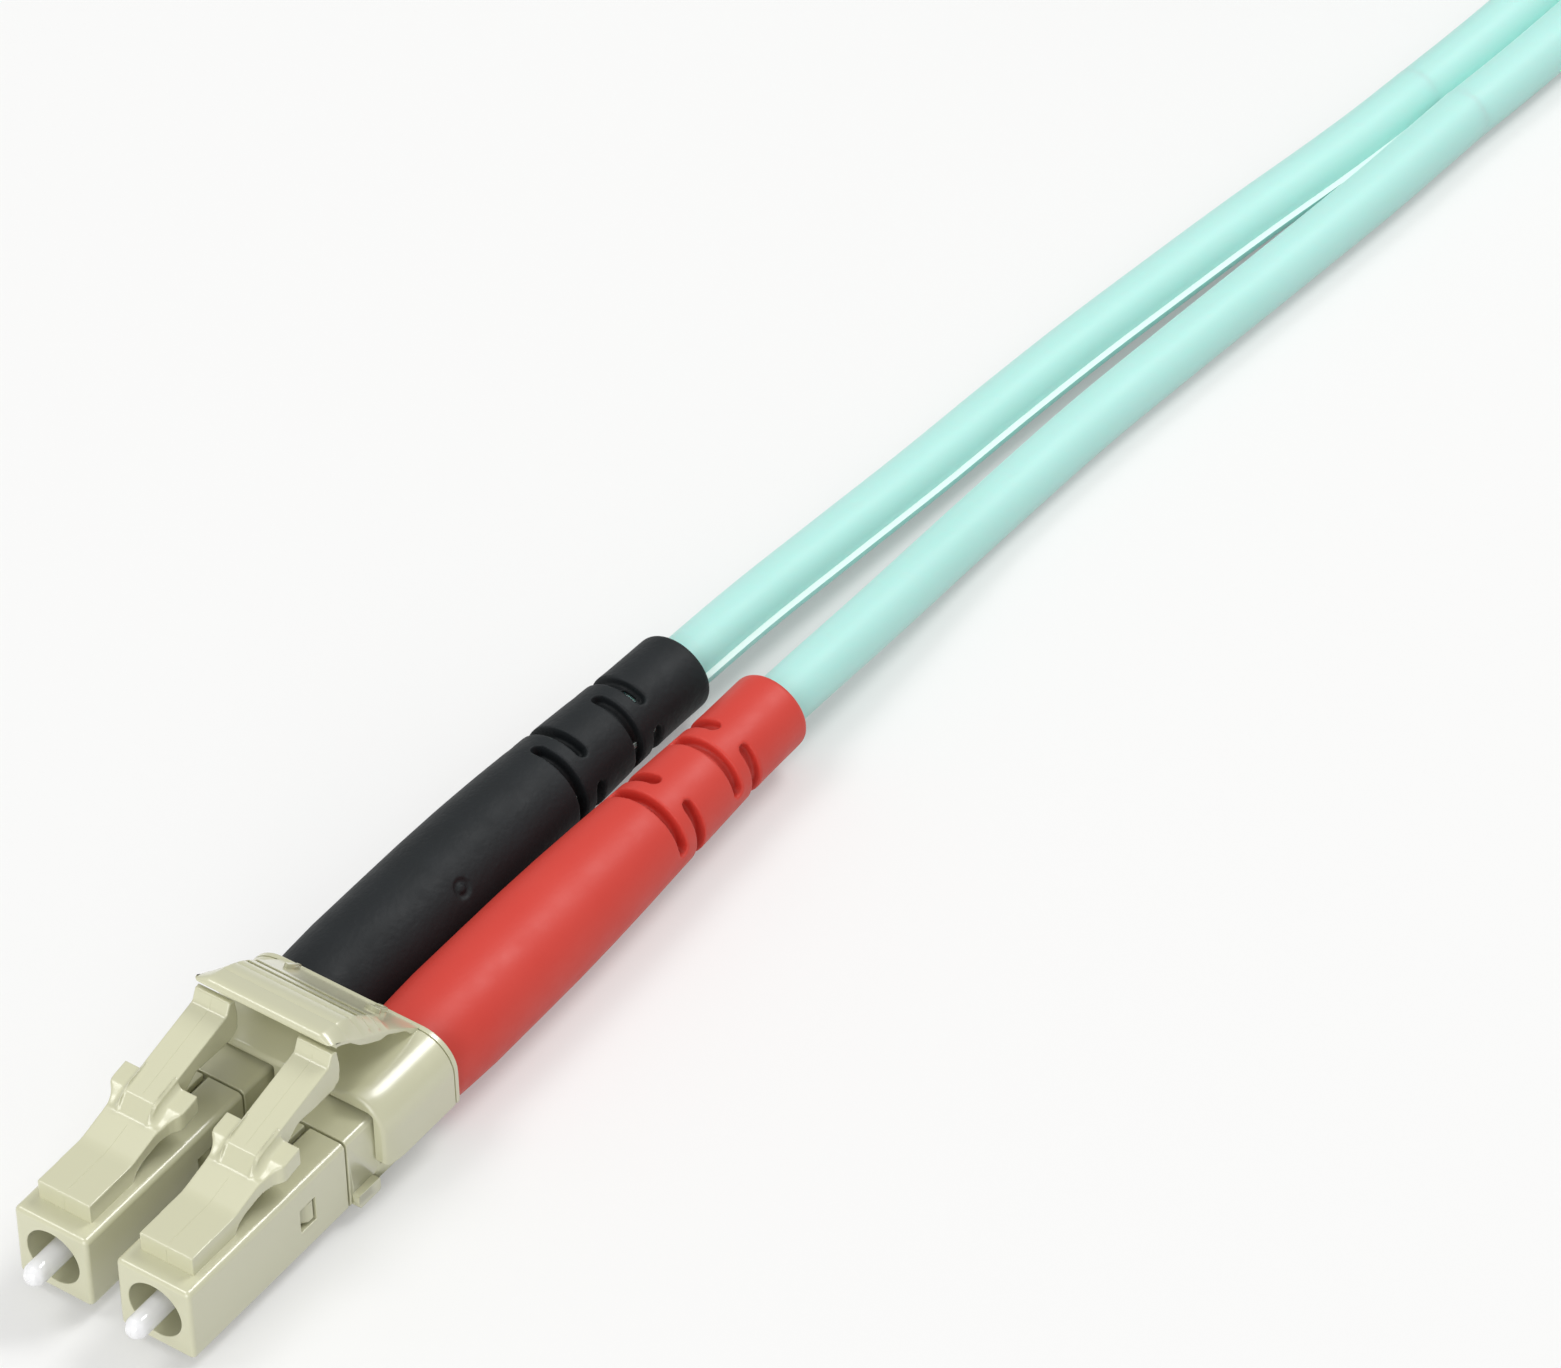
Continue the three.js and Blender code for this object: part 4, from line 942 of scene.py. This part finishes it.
# %% Tie
STRAP_T, STRAP_W, STEP_L = 0.7, 12.0, 2.6
reach = (COIL_OUTER_R - COIL_INNER_R) / 2 + CORE_R + 0.75 + 0.4
outline = rounded([(reach, 14.0), (-reach, 14.0), (-reach, 0.38), (reach, 0.38)], 1.2, 8)
outline = [(reach, 9.5), *outline, (reach, 9.5)]
lap = evenly([Vector((*p, 0)) for p in outline + outline[1:9]], 150)
around_once = route_length([Vector((*p, 0)) for p in outline])
rings, gone = [], 0.0
for i, (p, along) in enumerate(zip(lap, headings(lap))):
    gone += (p - lap[i - 1]).length if i else 0
    out = Vector((along.y, -along.x, 0))
    middle = p + out * ((STRAP_T + 0.06) * ease((gone - around_once + STEP_L) / STEP_L))
    section = square(STRAP_T / 2, -STRAP_W / 2, STRAP_W / 2, 0.2, 3)
    rings.append([(middle.x + out.x * a, b, middle.y + out.y * a) for a, b in section])
tie_angle = math.radians(TIE_ANGLE)
between = (COIL_OUTER_R + COIL_INNER_R) / 2
tie_at = COIL_MIDDLE + Vector((math.cos(tie_angle), math.sin(tie_angle), 0)) * between
tie_turn = Matrix.Translation(tie_at) @ Matrix.Rotation(tie_angle, 4, "Z")
tie = riding(drawn(rings, "hook_and_loop_tie", 50, tie_turn), "tie_fabric", "coil_tie")
tell("tie round the loops", tie)

# %% [markdown]
# ## Putting the pieces in place
# Housings, bodies, boots and clips ride on the cord's own body, and the ferrules on the group that slides. A
# latch and a trigger are baked into place and ride on no body.

# %% Place every copy
def standing(pattern, label, at, name, node, slot, body=ROOT):
    return riding(placed(pattern, f"{label}_{name}", at), slot, f"{label}_{node}", body=body)


def bending(pattern, label, at, name, node):
    piece = placed(pattern, f"{label}_{name}", at)
    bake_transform(piece)
    return stand_in(piece, "beige_plastic", f"{label}_{node}")


ON_PLUG = {}
for (end, side), at in PLUG_AT.items():
    label = f"{end}_{side}"
    group = f"{label}_ferrule_group"
    ON_PLUG[end, side] = [
        standing(ferrule_pattern, label, at, "polished_ferrule", "ferrule", "ferrule_ceramic", group),
        standing(housing_pattern, label, at, "moulded_housing", "front_housing", "beige_plastic"),
        standing(body_pattern, label, at, "moulded_body", "rear_body", "beige_plastic"),
        standing(boot_pattern[side], label, at, "slotted_boot", "boot", f"{side}_boot"),
        bending(latch_pattern, label, at, "bending_latch", "latch_arm"),
        standing(spring_pattern, label, at, "wound_spring", "spring", "spring_steel"),
    ]
    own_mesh(ON_PLUG[end, side][-1])
for vertex in bpy.data.objects["near_black_slotted_boot"].data.vertices:
    vertex.co += boot_sag(vertex.co.x / MM - PLUG_AT[NEAR_BLACK].x) * MM
for end, at in CONNECTOR_AT.items():
    ON_PLUG[end, "red"] += [
        standing(clip_pattern, end, at, "moulded_clip", "duplex_clip", "beige_plastic"),
        bending(trigger_pattern, end, at, "bending_trigger", "trigger"),
    ]
for pattern in (ferrule_pattern, spring_pattern, housing_pattern, body_pattern, latch_pattern, clip_pattern,
                trigger_pattern, *boot_pattern.values()):
    discard(pattern)
print("pieces on the plugs", sum(len(v) for v in ON_PLUG.values()))

# %% [markdown]
# A leg starts inside its boot, so it is said to leave the connector at the boot's mouth, and each far
# leg carries its own plug. Here the finishes of the CAD parts inside each plug are listed, and each far
# leg's route is turned round.


INSIDE = {"ferrule_holder": "nickel_brass", "guide_tube": "tube_plastic", "crimp_sleeve": "sleeve_steel"}
for (end, side), (leg, path) in LEGS.items():
    if end == "far":
        path = path[::-1]

# %% [markdown]
# ## Finishes
# Three effects make every finish: a slow drift of tone, an uneven gloss and a fine grain. Each is a node
# group with named inputs. They work in object space, in metres, so a scale of 4000 makes grains of a
# quarter of a millimetre.

# %% Node helpers
def linear(r, g, b):
    """A colour as a painter reads it, 0 to 255, to the light values that shaders use."""
    return tuple(c / 3294.6 if c <= 10.31 else ((c / 255 + 0.055) / 1.055) ** 2.4 for c in (r, g, b)) + (1.0,)


def new_group(name, starts, output, color=False):
    """A group with a Vector input, an input for each start value, and one output."""
    kinds = ("NodeSocketFloat", "NodeSocketColor")
    tree = bpy.data.node_groups.new(name, "ShaderNodeTree")
    tree.interface.new_socket("Vector", in_out="INPUT", socket_type="NodeSocketVector")
    for label, start in starts.items():
        kind = kinds[isinstance(start, tuple)]
        tree.interface.new_socket(label, in_out="INPUT", socket_type=kind).default_value = start
    tree.interface.new_socket(output, in_out="OUTPUT", socket_type=kinds[color])
    return tree, tree.nodes.new("NodeGroupInput").outputs, tree.nodes.new("NodeGroupOutput").inputs


def wire(tree, node, values):
    """Links an input to another node's socket, or gives it a plain value."""
    for key, value in values.items():
        if isinstance(value, bpy.types.NodeSocket):
            tree.links.new(value, node.inputs[key])
        else:
            node.inputs[key].default_value = value
    return node


def add(tree, kind, values, **settings):
    return wire(tree, assign(tree.nodes.new(kind), **settings), values)


def noise(tree, given, detail):
    """Noise at the group's own place and scale."""
    values = {"Vector": given["Vector"], "Scale": given["Scale"], "Detail": detail}
    return add(tree, "ShaderNodeTexNoise", values).outputs["Fac"]


print("beige in light values", [round(c, 3) for c in linear(204, 203, 172)])

# %% Tone drift
drift, given, result = new_group("tone_drift", {
    "Color": (0.8, 0.8, 0.8, 1), "Second Color": (0.6, 0.6, 0.6, 1), "Scale": 200.0, "Amount": 0.3},
    "Color", color=True)
wide = add(drift, "ShaderNodeMapRange", {"Value": noise(drift, given, 1.5), "From Min": 0.2, "From Max": 0.8})
share = add(drift, "ShaderNodeMath", {0: wide.outputs["Result"], 1: given["Amount"]}, operation="MULTIPLY")
mixed = add(drift, "ShaderNodeMix", {0: share.outputs[0], 6: given["Color"], 7: given["Second Color"]},
            data_type="RGBA")
drift.links.new(mixed.outputs[2], result["Color"])
print(drift.name, len(drift.nodes), "nodes")

# %% Uneven gloss
gloss, given, result = new_group("uneven_gloss", {
    "Scale": 500.0, "Smoothest": 0.3, "Roughest": 0.45}, "Roughness")
level = add(gloss, "ShaderNodeMapRange", {"Value": noise(gloss, given, 2.0), "From Min": 0.2, "From Max": 0.8,
                                          "To Min": given["Smoothest"], "To Max": given["Roughest"]})
gloss.links.new(level.outputs["Result"], result["Roughness"])
print(gloss.name, len(gloss.nodes), "nodes")

# %% Fine grain
grain, given, result = new_group("fine_grain", {"Scale": 4000.0, "Pitting": 0.4}, "Height")
cells = add(grain, "ShaderNodeTexVoronoi", {"Vector": given["Vector"], "Scale": given["Scale"]},
            feature="SMOOTH_F1")
pits = add(grain, "ShaderNodeMath", {0: cells.outputs["Distance"], 1: given["Pitting"]}, operation="MULTIPLY")
height = add(grain, "ShaderNodeMath", {0: noise(grain, given, 2.0), 1: pits.outputs[0]}, operation="ADD")
grain.links.new(height.outputs[0], result["Height"])
print(grain.name, len(grain.nodes), "nodes")

# %% [markdown]
# A finish is one Principled shader fed by the three groups. What is the same all over, such as the
# coat, sheen or subsurface, is set on the shader's own sockets.

# %% A plastic or metal from the groups
def finish(name, color, second, drift_scale, amount, rough, gloss_scale, grain_scale, bump, shader,
           pitting=0.4):
    """Colours are 0 to 255; rough is smoothest and roughest, bump is strength and millimetres."""
    material = bpy.data.materials.new(name)
    material.use_nodes = True
    material.diffuse_color = linear(*color)
    tree = material.node_tree
    where = add(tree, "ShaderNodeTexCoord", {}).outputs["Object"]

    def effect(group, values):
        return add(tree, "ShaderNodeGroup", {"Vector": where, **values}, node_tree=group).outputs[0]

    relief = add(tree, "ShaderNodeBump", {
        "Strength": bump[0], "Distance": bump[1] * MM,
        "Height": effect(grain, {"Scale": grain_scale, "Pitting": pitting})})
    wire(tree, tree.nodes["Principled BSDF"], {
        "Base Color": effect(drift, {"Color": linear(*color), "Second Color": linear(*second),
                                     "Scale": drift_scale, "Amount": amount}),
        "Roughness": effect(gloss, {"Scale": gloss_scale, "Smoothest": rough[0], "Roughest": rough[1]}),
        "Normal": relief.outputs["Normal"],
        **shader})
    return material


METAL = {"Metallic": 1.0}
ROWS = [
    ("beige_plastic", (204, 203, 172), (201, 200, 168), 60, 0.5, (0.34, 0.37), 300, 9000, (0.16, 0.006),
     {"Specular IOR Level": 0.6, "Coat Weight": 1.0, "Coat Roughness": 0.2, "Coat IOR": 1.55}),
    ("black_boot", (24, 28, 30), (33, 37, 40), 320, 0.6, (0.54, 0.66), 900, 3400, (0.9, 0.025),
     {"Specular IOR Level": 0.3}),
    ("red_boot", (207, 62, 51), (213, 73, 62), 240, 0.5, (0.44, 0.56), 800, 4200, (0.3, 0.02),
     {"Specular IOR Level": 0.4}),
    ("aqua_jacket", (180, 231, 223), (186, 234, 228), 120, 0.6, (0.5, 0.56), 400, 2500, (0.1, 0.01),
     {"Subsurface Weight": 0.3, "Subsurface Scale": 0.0008, "Subsurface Radius": (0.3, 1.0, 0.85),
      "Sheen Weight": 0.25, "Sheen Roughness": 0.4}),
    ("ferrule_ceramic", (240, 240, 241), (234, 235, 237), 900, 0.4, (0.06, 0.12), 2500, 9000, (0.05, 0.004),
     {"Subsurface Weight": 0.25, "Subsurface Scale": 0.0008, "Subsurface Radius": (1, 1, 1), "IOR": 1.8}),
    ("nickel_brass", (201, 196, 180), (186, 180, 164), 900, 0.5, (0.24, 0.38), 3000, 8000, (0.15, 0.006),
     METAL),
    ("tube_plastic", (242, 242, 234), (232, 232, 222), 700, 0.4, (0.35, 0.45), 1500, 6000, (0.1, 0.006), {}),
    ("spring_steel", (190, 193, 197), (168, 171, 176), 2500, 0.5, (0.2, 0.32), 5000, 9000, (0.15, 0.004),
     METAL),
    ("sleeve_steel", (178, 181, 185), (160, 163, 168), 1200, 0.5, (0.3, 0.45), 3000, 7000, (0.2, 0.006),
     METAL),
    # painted highlight: a whiter aqua that stands for the glint on the fin's top
    ("fin_painted_glint", (232, 248, 244), (222, 244, 238), 900, 0.5, (0.4, 0.5), 1500, 3000, (0.2, 0.01), {}),
    ("tie_fabric", (30, 31, 33), (46, 47, 49), 900, 0.8, (0.8, 0.95), 1500, 1600, (1.0, 0.25),
     {"Sheen Weight": 0.5, "Sheen Roughness": 0.5}, 1.4),
]
FINISH = {row[0]: finish(*row) for row in ROWS}
print("finishes", sorted(FINISH))

# %% [markdown]
# Every new piece takes the finish of its slot, and so do the CAD nodes that still show: the holder,
# tube and crimp sleeve inside each plug.

# %% Dress every piece
def dress(piece, material):
    piece.data.materials.clear()
    piece.data.materials.append(material)
    for face in piece.data.polygons:
        face.material_index = 0


for piece in PIECES:
    dress(piece, FINISH[piece["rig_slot"]])
for end, side in PLUG_AT:
    for node, slot in INSIDE.items():
        for holder in bpy.data.objects[f"{end}_{side}_{node}"].material_slots:
            holder.material = FINISH[slot]
print("dressed", len(PIECES), "pieces")

# %% [markdown]
# Stretched plastic turns pale where it tears, but here a whiter finish is painted only on the faces on top of
# the near black leg's fin: it is a painted highlight, standing for the glint off the fin's flat top. The
# faces are found by their place: they look up, and lie well under the leg's crown.

# %% The painted glint on the torn edge
torn_leg, torn_path = LEGS[NEAR_BLACK]
torn_leg.data.materials.append(FINISH["fin_painted_glint"])
heights = [(p.x, p.z) for p in torn_path]
painted_glint = 0
for face in torn_leg.data.polygons:
    spot = face.center / MM
    # up-facing faces on the fin take the painted highlight finish
    if face.normal.z > 0.9 and spot.z < between_rows(heights, spot.x) + 0.6:
        face.material_index = 1
        painted_glint += 1
print("torn edge", painted_glint, "faces")

# %% [markdown]
# ## Floor and light
# The floor is a pale sheet that keeps the soft shadow. A little light is added to it only for the
# camera and for reflections, so it reads as the white of a catalogue page. One softbox hangs over the
# object from the left, one hangs behind it, a broad low one lights its front, and the world fills in
# the rest.

# %% Floor
FLOOR_GLOW = 0.27
floor = make([(-3, -3, 0), (3, -3, 0), (3, 3, 0), (-3, 3, 0)], [(0, 1, 2, 3)], "studio_floor")
sheet = bpy.data.materials.new("pale_floor")
sheet.use_nodes = True
tree = sheet.node_tree
ray = add(tree, "ShaderNodeLightPath", {}).outputs
seen = add(tree, "ShaderNodeMath", {0: ray["Is Camera Ray"], 1: ray["Is Glossy Ray"]}, operation="MAXIMUM")
glow = add(tree, "ShaderNodeMath", {0: seen.outputs[0], 1: FLOOR_GLOW}, operation="MULTIPLY")
wire(tree, tree.nodes["Principled BSDF"], {
    "Base Color": linear(206, 206, 205), "Roughness": 0.8, "Specular IOR Level": 0.1,
    "Emission Color": (1, 1, 1, 1), "Emission Strength": glow.outputs[0]})
dress(floor, sheet)
print("floor ready")

# %% World and lamps
FILL = 0.45
LAMPS = {  # place and side in metres, watts
    "main_softbox": ((-0.28, 0.42, 0.95), 0.4, 2.5),
    "edge_softbox": ((0.58, -0.2, 0.78), 0.35, 4.0),
    "front_softbox": ((-0.95, -0.15, 0.33), 0.8, 6.5),
}
world = bpy.data.worlds.new("studio")
world.use_nodes = True
bpy.context.scene.world = world
tree = world.node_tree
seen = add(tree, "ShaderNodeLightPath", {}).outputs["Is Camera Ray"]
lift = add(tree, "ShaderNodeMapRange", {"Value": seen, "To Min": FILL, "To Max": 1.0})
wire(tree, tree.nodes["Background"], {"Strength": lift.outputs["Result"], "Color": (1, 1, 1, 1)})
for name, (place, width, watts) in LAMPS.items():
    lamp = assign(bpy.data.lights.new(name, "AREA"), size=width, energy=watts)
    box = shown(name, lamp)
    box.location = place
    box.rotation_euler = (AIM - Vector(place)).to_track_quat("-Z", "Y").to_euler()
print(len(LAMPS), "softboxes and a fill of", FILL)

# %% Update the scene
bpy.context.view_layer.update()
